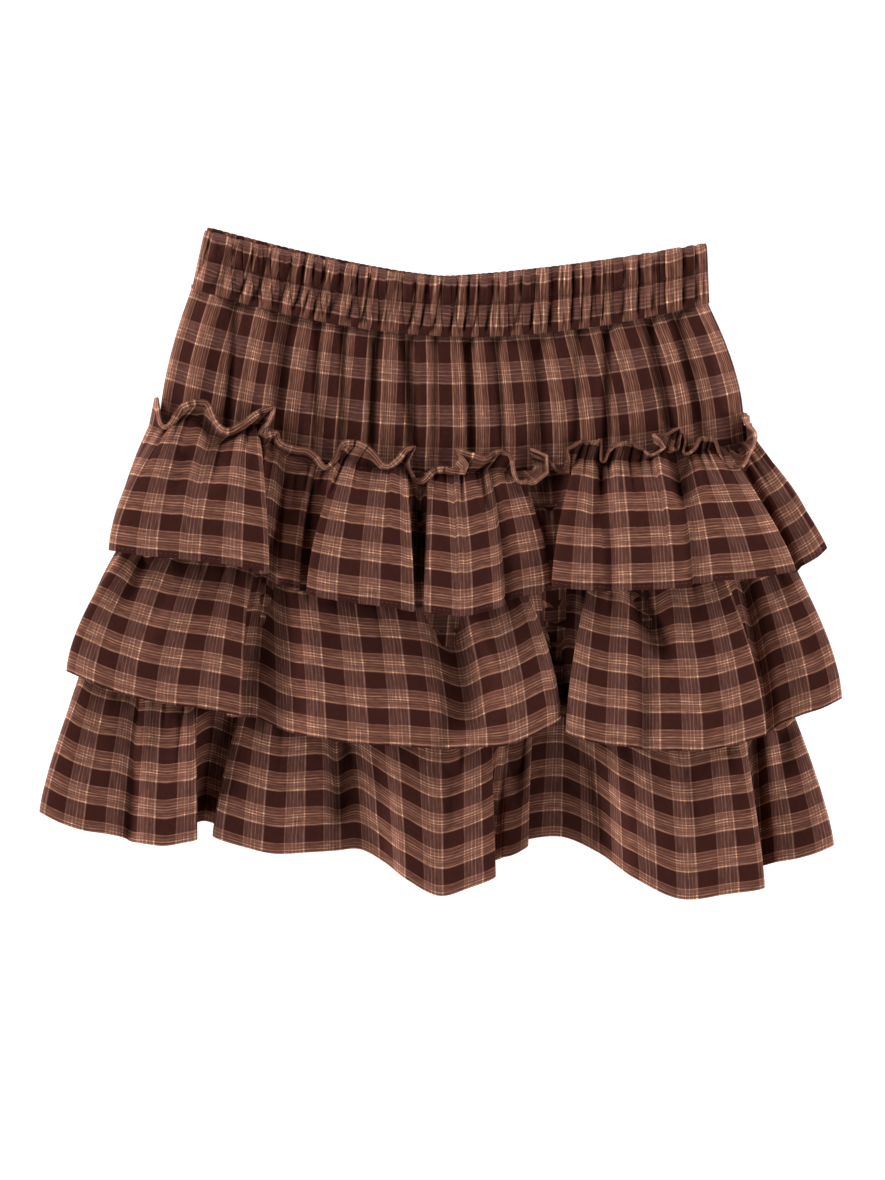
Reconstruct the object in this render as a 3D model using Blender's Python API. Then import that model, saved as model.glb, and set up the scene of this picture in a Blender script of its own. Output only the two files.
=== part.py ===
"""A tiered ruffle skirt laid flat on a table, its front up.

Lengths here are in millimetres, and become metres as each piece of cloth is built.
X runs across the skirt, Y from the hem up to the waist, and Z up from the table.
The plan positions in the tables are sighted from EYE onto a board that stands square to the
line of sight through AIM, so a raised fold is drawn where it is seen. laid() brings a sighted
point back along that line to its own height above the table.
"""

from functools import partial
from typing import NamedTuple

import bmesh
import bpy
import numpy as np

MM = 0.001
ORIGIN = np.array((1.81, -0.01, 0.0))  # the laid skirt's box stands on this plan point

# Sight line of the plan tables.
EYE = np.array((3.5, 210.0, 1600.0))
AIM = np.array((3.5, -18.2, 0.0))

# Cloth and how its layers lie on each other.
CLOTH = 1.3
CASING = 2.0  # waistband: two cloths and the elastic between them
GAP = 0.35
SEAM_STEP = 1.2  # from the casing's lower edge to the yoke's upper one, in plan
BACK_RISE = 1.2  # how far the back's pressed flutes lift off the table
LAYER = CLOTH + BACK_RISE + GAP
BACK_BODY_LIFT = 2 * LAYER - BACK_RISE
SIDE_HEIGHT = 1.5 * CLOTH + GAP  # middle of the front's cloth where it meets the back's edge
SIDE_ROUND = 14.0  # width over which the body's front rounds down to its side
SEAM_ROUND = 9.0  # the same for a ruffle at its seam
CASING_ROUND = 8.0  # and for the waistband
BACK_INSET = 0.004  # share of a piece's width by which its back is narrower at each side
SIDE_INSET = 1.5  # from the widest point of a ruffle's last fold in to its side seam
UNDER = 0.334  # part of a back ruffle's drop that lies on the ruffle above it
UNDER_DROP = 0.333  # part of the drop in which it then comes down to the table
UNDER_SPARE = 0.1  # how much further down the front's sides stay lifted

# Heading: the frilled top of the upper ruffle, above its stitching.
HEADING = 11.0
HEADING_TOP = -0.4  # v at the heading's edge, when v is 0 at the stitching and 1 at the hem
LEAN_FULL = 1.8  # headings above the seam at which it leans fully to the waist
RIPPLE = 5.0  # how far the gathers lift the ruffle under the heading
FRILL_SHARE = 0.6  # how far the back's flutes lift its heading
RIPPLE_REACH = 0.45  # part of the ruffle's drop that the gathers run down

# Waistband pleats.
PLEATS = 32
PLEAT_DEPTH = 2.4
BACK_PLEAT_DEPTH = 1.1
PLEAT_SHARPNESS = 3
STITCHED_DEPTH = 0.35  # part of the pleats' depth left at the stitching
LEAN_LEFT = 1.0  # pleats by which the lower channel's lean to the left, at its left end
LEAN_RIGHT = 0.2  # and at its right end
STITCHING = 0.46  # where the stitching between the channels lies, down the casing

# Colours and finish.
BROWN = (0.13, 0.055, 0.045)
DARK = (0.09, 0.035, 0.03)
ROUGHNESS = 0.85


class Edge(NamedTuple):
    """A line across the skirt, hanging in a curve between its two ends."""

    left: float
    left_y: float
    low: float
    low_y: float
    right: float
    right_y: float
    power: float = 2.0

    def y_at(self, x):
        reach = np.where(x < self.low, self.low - self.left, self.right - self.low)
        rise = np.where(x < self.low, self.left_y, self.right_y) - self.low_y
        return self.low_y + rise * (np.abs(x - self.low) / reach) ** self.power


class Side(NamedTuple):
    """Where the two sides of the body lie, at a fraction of the way down."""

    down: float
    left: float
    right: float


class Level(NamedTuple):
    """Height of a piece at a fraction of the way down it."""

    down: float
    height: float


class Wander(NamedTuple):
    """One wave in the pleats' spacing: its size in pleats, its pace and its start in radians."""

    size: float
    pace: float
    start: float


class Gather(NamedTuple):
    """A trough in the yoke, from the waist seam to the ruffle; a ridge has a negative depth."""

    top: float
    bottom: float
    depth: float
    width: float


class Fold(NamedTuple):
    """One fold of a ruffle.

    left and right are its edges at the hem, height is its crest's, and hem_* are the hem's y at
    its left edge, crest and right edge. The cloth turns back under an edge by its tuck, and a tuck
    of 0 is an open slope. seam_left and seam_right are where its edges leave the seam. trough and
    hem_trough are the height and the hem's y between this fold and the next.
    """

    left: float
    right: float
    height: float
    hem_left: float
    hem_crest: float
    hem_right: float
    tuck_left: float
    tuck_right: float
    seam_left: float
    seam_right: float
    trough: float
    hem_trough: float


class Turn(NamedTuple):
    """One turn of the heading's frilled edge, over the seam's x, and its rise above the seam."""

    seam: float
    x: float
    y: float
    rise: float


class Tier(NamedTuple):
    """A ruffle: its seam, the folds of its front, and how its back lies."""

    name: str
    seam: Edge
    seat: float
    swell: float  # how quickly its height turns from its seam's to its hem's
    spread: float  # the same for its width
    folds: tuple
    back_hem: Edge
    back_flutes: int


WAIST_TOP = Edge(-148, 211.5, 5, 182, 172, 203.5, 1.4)
BACK_WAIST_TOP = Edge(-147, 214, 5, 182.6, 171, 202.5, 1.35)
WAIST_SEAM = Edge(-156, 175, 21, 144, 173.5, 165.5, 1.85)
BODY_HEM = Edge(-208, -62, 8, -95, 211, -72)

BODY_SIDES = (
    Side(0.00, -157, 173.5),
    Side(0.10, -165, 184),
    Side(0.24, -173.5, 194),
    Side(0.36, -178, 197),
    Side(0.64, -190, 208),
    Side(1.00, -208, 211),
)
BACK_BODY_LEVELS = (
    Level(0.00, 0),
    Level(0.20, 0),
    Level(0.40, BACK_BODY_LIFT),
    Level(1.00, BACK_BODY_LIFT),
)
FRONT_BODY_LEVELS = (
    Level(0.00, 9.0),
    Level(0.42, 9.0),
    Level(0.55, 7.6),
    Level(1.00, 7.6),
)
# The casing's two channels, pinched at 0.5 by the stitching between them.
CASING_LEVELS = (
    Level(0.00, 4.6),
    Level(0.12, 10.4),
    Level(0.28, 12.0),
    Level(0.50, 8.6),
    Level(0.74, 12.0),
    Level(0.92, 10.6),
    Level(1.00, 9.6),
)

PLEAT_WANDERS = (
    Wander(0.42, 23.2, 1.0),
    Wander(0.25, 57.2, 0.5),
)

YOKE_GATHERS = (
    Gather(-141, -166, -2.5, 5),
    Gather(-124, -130, 2, 4),
    Gather(-96, -108, 6, 4.5),
    Gather(-75, -77, 4, 3.5),
    Gather(-58, -63, 3, 3.5),
    Gather(-40, -45, 2, 4),
    Gather(-20, -15, 6.5, 4),
    Gather(-3, -3, 2.5, 3),
    Gather(21, 24, 2.5, 3.5),
    Gather(34, 44, 3, 3.5),
    Gather(58, 60, 6, 4),
    Gather(91, 86, 2, 4),
    Gather(105, 106, 3.5, 3.5),
    Gather(139, 172, 3.5, 4),
    Gather(166, 192, -2, 4),
)
GATHER_END = 0.42  # fraction of the body's drop where Gather.bottom is read
GATHER_FADE = 0.30  # fraction of the drop below which a gather fades out

HEADING_TURNS = (
    Turn(-182, -179, 104, 3),
    Turn(-175, -173, 91, 10),
    Turn(-159, -151, 105, 4),
    Turn(-143, -140, 91, 9),
    Turn(-136, -134, 86, 10),
    Turn(-122, -116, 99, 5),
    Turn(-113, -108, 92, 8),
    Turn(-106, -107, 84, 10),
    Turn(-96, -97, 76, 9),
    Turn(-80, -77, 68, 9),
    Turn(-73, -72, 60, 7),
    Turn(-61, -62, 76, 6),
    Turn(-53, -52, 78, 5),
    Turn(-36, -34, 63, 10),
    Turn(-21, -19, 74, 5),
    Turn(-14, -15, 64, 9),
    Turn(-10, -13, 53, 10),
    Turn(2, 2, 60, 9),
    Turn(15, 19, 62, 9),
    Turn(22, 13, 68, 6),
    Turn(34, 35, 70, 5),
    Turn(45, 50, 64, 8),
    Turn(56, 58, 52, 10),
    Turn(68, 71, 62, 8),
    Turn(74, 68, 68, 5),
    Turn(83, 84, 57, 9),
    Turn(90, 83, 71, 6),
    Turn(98, 96, 77, 5),
    Turn(107, 106, 67, 9),
    Turn(116, 112, 76, 6),
    Turn(122, 121, 78, 5),
    Turn(139, 145, 71, 8),
    Turn(146, 140, 81, 4),
    Turn(156, 157, 81, 4),
    Turn(163, 159, 72, 9),
    Turn(173, 173, 80, 6),
    Turn(183, 183, 71, 8),
    Turn(191, 190, 63, 14),
    Turn(199, 200, 76, 8),
    Turn(202.5, 202, 92, 3),
)

UPPER = Tier(
    name="ruffle_1",
    seam=Edge(-184, 87, 21, 57, 203, 78),
    seat=10.8,
    swell=2.2,
    spread=1.7,
    folds=(
        Fold(-208, -108, 36, 7, 1, -7, 2, 9, -182, -107, 18, -10),
        Fold(-103, -88, 25, -14, -16, -18, 0, 4, -98, -76, 18, -19),
        Fold(-83, -15, 37, -21, -27, -32, 8, 8, -65, -16, 20, -30),
        Fold(-8, 42, 36, -32, -35, -28, 6, 0, -8, 33, 27, -25),
        Fold(45, 73, 29, -25, -21, -18, 0, 6, 35, 53, 16, -16),
        Fold(74, 109, 37, -16, -18, -19, 9, 0, 88, 104, 31, -19),
        Fold(112, 162, 39, -19, -18, -16, 0, 0, 108, 150, 30, -14),
        Fold(167, 236, 38, -14, -11, -9, 0, 9, 156, 195, 12, -9),
        Fold(236, 248, 17, -10, -5, 7, 0, 2, 197, 202, 0, 7),
    ),
    back_hem=Edge(-205, 7, 0, -25, 244, 7),
    back_flutes=9,
)
MIDDLE = Tier(
    name="ruffle_2",
    seam=Edge(-197, 20, 8, -7, 222, 10),
    seat=9.6,
    swell=1.3,
    spread=1.6,
    folds=(
        Fold(-235, -126, 37, -71, -90, -99, 2, 8, -196, -112, 17, -100),
        Fold(-98, 2, 36, -108, -117, -120, 0, 0, -104, -14, 30, -120),
        Fold(7, 79, 38, -120, -118, -101, 0, 10, -11, 58, 13, -99),
        Fold(83, 130, 38, -110, -117, -120, 8, 0, 97, 130, 33, -121),
        Fold(135, 210, 38, -121, -121, -111, 0, 8, 133, 182, 14, -107),
        Fold(210, 258, 22, -110, -98, -88, 0, 2, 189, 221, 0, -88),
    ),
    back_hem=Edge(-231, -71, 0, -104, 254, -88),
    back_flutes=10,
)
LOWER = Tier(
    name="ruffle_3",
    seam=Edge(-224, -58, 8, -94, 217, -68),
    seat=9.4,
    swell=1.3,
    spread=1.3,
    folds=(
        Fold(-253, -200, 31, -161, -172, -177, 2, 0, -223, -190, 26, -178),
        Fold(-196, -154, 34, -179, -182, -178, 0, 8, -188, -152, 6, -166),
        Fold(-143, -65, 29, -176, -187, -185, 6, 0, -127, -68, 19, -184),
        Fold(-36, 37, 38, -190, -214, -205, 0, 9, -43, 40, 9, -191),
        Fold(38, 58, 14, -191, -188, -182, 0, 3, 45, 63, 5, -176),
        Fold(103, 209, 38, -186, -216, -209, 0, 8, 98, 197, 9, -196),
        Fold(208, 253, 20, -195, -190, -182, 0, 2, 202, 216, 0, -182),
    ),
    back_hem=Edge(-250, -160, 0, -168, 249, -180),
    back_flutes=11,
)

# Parts of a fold's width, of its rise and of its gathers at which the cloth turns.
ROOT_RISE = 0.2
EDGE_RISE = 0.62
LIP_WIDTH = 0.1
FOOT_RISE = 0.15
SHOULDER_RISE = 0.93
SHOULDER_WIDTH = 0.22
SHOULDER_DROP = 0.55


def laid(x, y, z):
    """A sighted plan point brought back along its line of sight to its height z."""
    sight = (AIM - EYE) / np.linalg.norm(AIM - EYE)
    board_y = AIM[1] - (y - AIM[1]) * sight[2]
    board_z = (y - AIM[1]) * sight[1]
    reach = (EYE[2] - z) / (EYE[2] - board_z)
    points = (EYE[0] + (x - EYE[0]) * reach, EYE[1] + (board_y - EYE[1]) * reach, z)
    return np.stack(points, axis=-1) - ORIGIN


def smooth_through(knots, values, at, held=False):
    """Cubic through values at knots; held keeps each stretch between its own two values."""
    knots = np.asarray(knots, float)
    values = np.asarray(values, float)
    spans = np.diff(knots)
    slopes = np.diff(values) / spans
    before = slopes[:-1]
    after = slopes[1:]
    if held:
        level = before * after <= 0
        total = np.where(level, 1, before + after)
        inner = np.where(level, 0, 2 * before * after / total)
    else:
        inner = (before * spans[1:] + after * spans[:-1]) / (spans[:-1] + spans[1:])
    tangents = np.concatenate([slopes[:1], inner, slopes[-1:]])
    index = np.clip(np.searchsorted(knots, at, side="right") - 1, 0, len(spans) - 1)
    span = spans[index]
    s = np.clip((at - knots[index]) / span, 0, 1)
    ends = values[index] * (1 + 2 * s) * (1 - s) ** 2 + values[index + 1] * (3 - 2 * s) * s**2
    bend = tangents[index] * s * (1 - s) ** 2 - tangents[index + 1] * s**2 * (1 - s)
    return ends + bend * span


def column(rows, field):
    return [getattr(row, field) for row in rows]


def mix(a, b, share):
    return a + (b - a) * share


def inset(u):
    """u from side to side of a back, taken in from the sides of its front."""
    return mix(BACK_INSET, 1 - BACK_INSET, u)


def rounded(distance, reach):
    """0 at a side and 1 from reach inwards, along a quarter of a circle."""
    return np.sqrt(1 - (1 - np.clip(distance / reach, 0, 1)) ** 2)


def eased(value):
    value = np.clip(value, 0, 1)
    return value * value * (3 - 2 * value)


def fold_turns(fold, low, low_y, next_low, next_low_y):
    """Rows (x, y, height, seam x) at the turns of one fold, from its left to its right."""
    width = fold.right - fold.left
    gathered = fold.seam_right - fold.seam_left

    def edge_turns(edge, hem, tuck, base, base_y, inward, seam):
        rise = fold.height - base
        y = mix(hem, base_y, 0.5)
        if tuck:
            root = (edge + inward * tuck, y, base + ROOT_RISE * rise, seam)
            lip = (edge, hem, base + EDGE_RISE * rise, seam + inward * LIP_WIDTH * gathered)
            turns = [root, lip]
        else:
            turns = [(edge, hem, base + FOOT_RISE * rise, seam)]
        shoulder = (
            edge + inward * SHOULDER_WIDTH * width,
            mix(hem, fold.hem_crest, SHOULDER_DROP),
            base + SHOULDER_RISE * rise,
            seam + inward * SHOULDER_WIDTH * gathered,
        )
        return turns + [shoulder]

    left = edge_turns(fold.left, fold.hem_left, fold.tuck_left, low, low_y, 1, fold.seam_left)
    right = edge_turns(
        fold.right, fold.hem_right, fold.tuck_right, next_low, next_low_y, -1, fold.seam_right
    )
    crest = (
        mix(fold.left, fold.right, 0.5),
        fold.hem_crest,
        fold.height,
        mix(fold.seam_left, fold.seam_right, 0.5),
    )
    return left + [crest] + right[::-1]


def hem_turns(tier):
    """Rows (x, y, height, seam x) at each turn of a tier's hem, from side to side."""
    first = tier.folds[0]
    turns = [(first.left + SIDE_INSET, first.hem_left, SIDE_HEIGHT, tier.seam.left)]
    low = SIDE_HEIGHT
    low_y = first.hem_left
    for fold, after in zip(tier.folds, tier.folds[1:] + (None,)):
        next_low = fold.trough if after else SIDE_HEIGHT
        rows = fold_turns(fold, low, low_y, next_low, fold.hem_trough)
        if len(turns) == 1:
            rows = rows[1:]
        if after is None:
            rows = rows[:-1]
        turns += rows
        if after:
            root = rows[-1][0]
            next_root = after.left + after.tuck_left
            middle = mix(fold.seam_right, after.seam_left, 0.5)
            turns.append((mix(root, next_root, 0.5), fold.hem_trough, fold.trough, middle))
        low = next_low
        low_y = fold.hem_trough
    last = tier.folds[-1]
    turns.append((last.right - SIDE_INSET, last.hem_right, SIDE_HEIGHT, tier.seam.right))
    return np.array(turns)


def seam_height(tier, x):
    """Height of a ruffle's stitching, rounding down to its two sides."""
    side = np.minimum(x - tier.seam.left, tier.seam.right - x)
    return mix(SIDE_HEIGHT, tier.seat, rounded(side, SEAM_ROUND))


def gather_lean(x):
    """How far the heading leans to the waist over the seam's x, from 0 to 1."""
    lean = smooth_through(column(HEADING_TURNS, "seam"), column(HEADING_TURNS, "y"), x)
    return np.clip((lean - UPPER.seam.y_at(x)) / (LEAN_FULL * HEADING), 0, 1)


def back_lift(tier, down):
    """How high a ruffle's back lies where its top is on the ruffle above it."""
    if tier is UPPER:
        return 0 * down
    return LAYER * (1 - np.clip((down - UNDER) / UNDER_DROP, 0, 1))


def front_ruffle(tier, u, v):
    """Points of a ruffle's front: u from side to side by its turns, v from its seam to its hem."""
    turns = hem_turns(tier)
    steps = np.linalg.norm(np.diff(turns[:, :3], axis=0), axis=1)
    knots = np.concatenate([[0], np.cumsum(np.sqrt(steps))])
    at = np.interp(u * (len(turns) - 1), np.arange(len(turns)), knots)
    hem_x, hem_y, hem_z = (smooth_through(knots, turns[:, i], at) for i in range(3))
    seam_x = smooth_through(knots, turns[:, 3], at, held=True)
    seam_y = tier.seam.y_at(seam_x)
    seam_z = seam_height(tier, seam_x)
    down = np.clip(v, 0, 1)
    x = mix(seam_x, hem_x, 1 - (1 - down) ** tier.spread)
    y = mix(seam_y, hem_y, down)
    z = mix(seam_z, hem_z, 1 - (1 - down) ** tier.swell)
    z = np.maximum(z, SIDE_HEIGHT + back_lift(tier, down - UNDER_SPARE))
    if tier is not UPPER:
        return laid(x, y, z)
    side = rounded(np.minimum(seam_x - tier.seam.left, tier.seam.right - seam_x), SEAM_ROUND)
    z = z + RIPPLE * side * gather_lean(seam_x) * eased(1 - down / RIPPLE_REACH)
    up = np.clip(v / HEADING_TOP, 0, 1)
    stood = np.sin(up * np.pi / 2)
    seams = column(HEADING_TURNS, "seam")
    edge_x = smooth_through(seams, column(HEADING_TURNS, "x"), seam_x)
    edge_y = smooth_through(seams, column(HEADING_TURNS, "y"), seam_x)
    rise = smooth_through(seams, column(HEADING_TURNS, "rise"), seam_x)
    return laid(mix(x, edge_x, up), mix(y, edge_y, up), z + rise * stood)


def back_ruffle(tier, u, v):
    """Points of a ruffle's back, from below: flat pads on the table with flutes between them."""
    seam_x = mix(tier.seam.left, tier.seam.right, inset(u))
    hem_x = mix(tier.back_hem.left, tier.back_hem.right, u)
    down = np.clip(v, 0, 1)
    up = np.clip(v / HEADING_TOP, 0, 1)
    x = mix(seam_x, hem_x, 1 - (1 - down) ** tier.spread)
    y = mix(tier.seam.y_at(seam_x), tier.back_hem.y_at(hem_x), down) + up * HEADING
    wave = np.cos(2 * np.pi * tier.back_flutes * u)
    lift = back_lift(tier, down)
    free = np.maximum(down, FRILL_SHARE * up) * (1 - lift / LAYER)
    flute = np.clip((-wave - 0.5) / 0.5, 0, 1) * BACK_RISE * free
    return laid(x, y, flute + lift)


def body_plan(u, v):
    """Sighted x and y on the body: u from side to side, v from the waist seam to its hem."""
    downs = column(BODY_SIDES, "down")
    left = smooth_through(downs, column(BODY_SIDES, "left"), v)
    right = smooth_through(downs, column(BODY_SIDES, "right"), v)
    top_x = mix(BODY_SIDES[0].left, BODY_SIDES[0].right, u)
    hem_x = mix(BODY_SIDES[-1].left, BODY_SIDES[-1].right, u)
    y = mix(WAIST_SEAM.y_at(top_x) - SEAM_STEP, BODY_HEM.y_at(hem_x), v)
    return left, right, mix(left, right, u), y


def level_at(levels, v):
    return smooth_through(column(levels, "down"), column(levels, "height"), v, held=True)


def front_body(u, v):
    """Points of the yoke with its gathers, and of the body that runs on under the ruffles."""
    left, right, x, y = body_plan(u, v)
    side = rounded(np.minimum(x - left, right - x), SIDE_ROUND)
    edge = level_at(BACK_BODY_LEVELS, v) + SIDE_HEIGHT
    z = mix(edge, level_at(FRONT_BODY_LEVELS, v), side)
    fade = 1 - eased((v - GATHER_FADE) / (GATHER_END - GATHER_FADE))
    for gather in YOKE_GATHERS:
        middle = mix(gather.top, gather.bottom, v / GATHER_END)
        z = z - gather.depth * side * fade * np.exp(-(((x - middle) / gather.width) ** 2))
    return laid(x, y, np.maximum(z, edge))


def back_body(u, v):
    """Points of the body's back from below, flat on the table and lifted where ruffles lie under."""
    _, _, x, y = body_plan(inset(u), v)
    return laid(x, y, level_at(BACK_BODY_LEVELS, v))


def pleat(u, v, lean):
    """0 on the back of a pleat and 1 in the crease beside it, uneven in width."""
    place = PLEATS * u + lean * np.clip(v - 0.5, 0, 1)
    for wander in PLEAT_WANDERS:
        place = place + wander.size * np.sin(wander.pace * u + wander.start)
    return np.abs(np.cos(np.pi * place)) ** PLEAT_SHARPNESS


def waistband(u, v, top):
    """Sighted x and y on the casing: u from side to side, v from its top fold to the waist seam.

    v is 0.5 at the stitching between the channels.
    """
    down = np.interp(v, (0, 0.5, 1), (0, STITCHING, 1))
    x = mix(mix(top.left, WAIST_SEAM.left, down), mix(top.right, WAIST_SEAM.right, down), u)
    top_y = top.y_at(mix(top.left, top.right, u))
    seam_y = WAIST_SEAM.y_at(mix(WAIST_SEAM.left, WAIST_SEAM.right, u))
    return x, mix(top_y, seam_y, down)


def front_waistband(u, v):
    """Points of the casing's front: two stuffed channels, pleated by the elastic."""
    x, y = waistband(u, v, WAIST_TOP)
    level = level_at(CASING_LEVELS, v)
    free = mix(STITCHED_DEPTH, 1, np.sin(2 * np.pi * v) ** 2)
    crease = PLEAT_DEPTH * free * pleat(u, v, mix(LEAN_LEFT, LEAN_RIGHT, u))
    side = rounded(np.minimum(u, 1 - u) * (WAIST_TOP.right - WAIST_TOP.left), CASING_ROUND)
    low = CASING + BACK_PLEAT_DEPTH + GAP + CASING / 2
    return laid(x, y, mix(low, np.maximum(level - crease, low), side))


def back_waistband(u, v):
    """Points of the casing's back from below, flat between its pleats."""
    x, y = waistband(inset(u), v, BACK_WAIST_TOP)
    return laid(x, y, BACK_PLEAT_DEPTH * pleat(u, v, 0) * np.sin(np.pi * v) ** 2)


def finish(name, colour):
    """A plain cloth finish."""
    material = bpy.data.materials.new(name)
    material.use_nodes = True
    surface = material.node_tree.nodes["Principled BSDF"]
    surface.inputs["Base Color"].default_value = (*colour, 1)
    surface.inputs["Roughness"].default_value = ROUGHNESS
    surface.inputs["Metallic"].default_value = 0
    return material


def cloth(name, place, columns, rows, colour, top=0.0, thickness=CLOTH, offset=0.0):
    """One piece of cloth: a grid laid by place(u, v), with v from top to 1, and given its wall."""
    mesh = bpy.data.meshes.new(name)
    sheet = bmesh.new()
    bmesh.ops.create_grid(sheet, x_segments=columns, y_segments=rows, size=0.5)
    corners = np.array([vertex.co[:] for vertex in sheet.verts])
    u = corners[:, 0] + 0.5
    v = mix(top, 1, 0.5 - corners[:, 1])
    for vertex, point in zip(sheet.verts, place(u, v) * MM):
        vertex.co = point
    sheet.to_mesh(mesh)
    sheet.free()
    mesh.shade_smooth()
    mesh.materials.append(finish(name + "_cloth", colour))
    piece = bpy.data.objects.new(name, mesh)
    bpy.context.scene.collection.objects.link(piece)
    wall = piece.modifiers.new("wall", "SOLIDIFY")
    wall.thickness = thickness * MM
    wall.offset = offset
    return piece


def main():
    for old in list(bpy.data.objects):
        bpy.data.objects.remove(old)
    skirt = bpy.data.objects.new("skirt", None)
    bpy.context.scene.collection.objects.link(skirt)
    pieces = [
        cloth("waistband_front", front_waistband, 4 * PLEATS, 4, BROWN, thickness=CASING),
        cloth("waistband_back", back_waistband, 2 * PLEATS, 2, DARK, thickness=CASING, offset=1.0),
        cloth("body_front", front_body, 66, 5, BROWN),
        cloth("body_back", back_body, 20, 5, DARK, offset=1.0),
    ]
    for tier in (UPPER, MIDDLE, LOWER):
        top = HEADING_TOP if tier is UPPER else 0.0
        rows = 7 if tier is UPPER else 5
        turns = 2 * (len(hem_turns(tier)) - 1)
        flutes = 4 * tier.back_flutes
        front = partial(front_ruffle, tier)
        back = partial(back_ruffle, tier)
        pieces += [
            cloth(tier.name + "_front", front, turns, rows, BROWN, top=top),
            cloth(tier.name + "_back", back, flutes, rows - 2, DARK, top=top, offset=1.0),
        ]
    for piece in pieces:
        piece.parent = skirt


if __name__ == "__main__":
    main()
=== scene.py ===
"""A tiered ruffle skirt of brown plaid cotton, laid flat with its front up.

Lengths in the tables are in millimetres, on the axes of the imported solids: X runs across the skirt,
Y from the hem up to the waist, and Z up from the surface that it lies on. Plan positions in the
tables are sighted from EYE onto a board that stands square to the line of sight through AIM, and
laid() brings a sighted point back along that line to its own height.
"""

import logging
import math
from collections.abc import Callable, Sequence
from dataclasses import dataclass, field
from enum import Enum

import bmesh
import bpy
import numpy as np
from mathutils import Matrix, Vector


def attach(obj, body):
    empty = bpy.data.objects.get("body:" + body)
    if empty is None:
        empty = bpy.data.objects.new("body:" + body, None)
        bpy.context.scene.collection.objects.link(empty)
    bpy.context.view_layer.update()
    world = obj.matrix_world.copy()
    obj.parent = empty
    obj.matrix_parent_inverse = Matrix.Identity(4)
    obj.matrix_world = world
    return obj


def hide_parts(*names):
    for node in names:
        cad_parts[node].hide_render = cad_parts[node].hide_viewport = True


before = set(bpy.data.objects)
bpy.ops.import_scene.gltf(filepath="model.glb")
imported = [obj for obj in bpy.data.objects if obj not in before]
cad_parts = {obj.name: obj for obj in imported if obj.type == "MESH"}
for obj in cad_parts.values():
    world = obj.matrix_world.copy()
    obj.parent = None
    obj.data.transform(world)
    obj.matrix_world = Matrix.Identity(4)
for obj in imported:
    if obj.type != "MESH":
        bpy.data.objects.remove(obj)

LOG = logging.getLogger("skirt")

Array = np.ndarray
Colour = tuple[float, float, float]
Place = Callable[[Array, Array], Array]

MM = 0.001
ORIGIN = np.array((1.81, -0.01, 0.0))  # the laid skirt's box stands on this plan point
EYE = np.array((3.5, 210.0, 1600.0))
AIM = np.array((3.5, -18.2, 0.0))

# Cloth and how its layers lie on each other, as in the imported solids.
CLOTH = 1.3
CASING = 2.0
GAP = 0.35
SEAM_STEP = 1.2
BACK_RISE = 1.2
LAYER = CLOTH + BACK_RISE + GAP
BACK_BODY_LIFT = 2 * LAYER - BACK_RISE
SIDE_HEIGHT = 1.5 * CLOTH + GAP
SIDE_ROUND = 14.0
SEAM_ROUND = 9.0
CASING_ROUND = 8.0
BACK_INSET = 0.004
SIDE_INSET = 1.5
UNDER = 0.334
UNDER_DROP = 0.333
UNDER_SPARE = 0.1

# The upper ruffle's heading.
HEADING = 11.0
HEADING_TOP = -0.4  # its edge's v
HEMMED = 0.6  # part of the heading at which its turned hem starts
HEM_START = 0.58
HEM_STEP = 0.05
HEM_THICK = 0.55
BAND_LEAST = 0.5
BAND_MOST = 4.4
LEAF_REACH = 0.7
LEAF_RISE = 0.1
EDGE_STEP = 0.3  # mm of the seam over which the edge's run is measured
LEAN_FULL = 1.8
RIPPLE = 5.0
RIPPLE_REACH = 0.45
FRILL_SHARE = 0.6
STITCH_DIP = 1.5
STITCH_DIP_REACH = 0.035
STITCH_V = 0.004

# The waistband's pleats.
PLEATS = 32
BACK_PLEAT_DEPTH = 1.1
PLEAT_SHARPNESS = 3
STITCHED_DEPTH = 0.35
LEAN_LEFT = 1.0
LEAN_RIGHT = 0.2
STITCHING = 0.46

# Parts of a fold's width and rise at which the cloth turns.
ROOT_RISE = 0.2
LIP_WIDTH = 0.1
FOOT_RISE = 0.15
SHOULDER_RISE = 0.93
SHOULDER_WIDTH = 0.22

# How the dressed folds are crisper than the solids'.
CRISP_EDGE = 0.86
CRISP_SHOULDER = 0.985
CREST_GAIN = 3.0
CLEAR = 1.5  # from the middle of one wall to the middle of the wall that lies on it
SHOULDER_DROP = 0.55
CREASE_ROOM = 6.0  # mm over the lowest edge within which a crease fades out
RIGHT_FROM = 0.8  # part of the way across at which the right side's own pace comes in
RIGHT_REACH = 0.2

# The hems' relief: a soft roll at the edge, and a dip along the stitches.
HEM_ROLL = 0.25
HEM_ROLL_WIDTH = 2.4
HEM_DIP = 0.3
HEM_DIP_WIDTH = 0.7
HEM_ROWS = 5.5  # mm from the hem over which the grid is at its closest


def mix(a: Array | float, b: Array | float, share: Array | float) -> Array | float:
    """a at a share of 0, and b at a share of 1."""
    return a + (b - a) * share


def eased(value: Array) -> Array:
    """A value from 0 to 1, levelled out at both ends."""
    value = np.clip(value, 0, 1)
    return value * value * (3 - 2 * value)


def rounded(distance: Array, reach: float) -> Array:
    """0 at a side and 1 from reach inwards, along a quarter of a circle."""
    return np.sqrt(1 - (1 - np.clip(distance / reach, 0, 1)) ** 2)


def bump(distance: Array, width: Array | float) -> Array:
    """A soft bump of height 1 where the distance is 0."""
    return np.exp(-((distance / width) ** 2))


def column(rows: Sequence[object], name: str) -> list[float]:
    """One field of each row of a table."""
    return [getattr(row, name) for row in rows]


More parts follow.
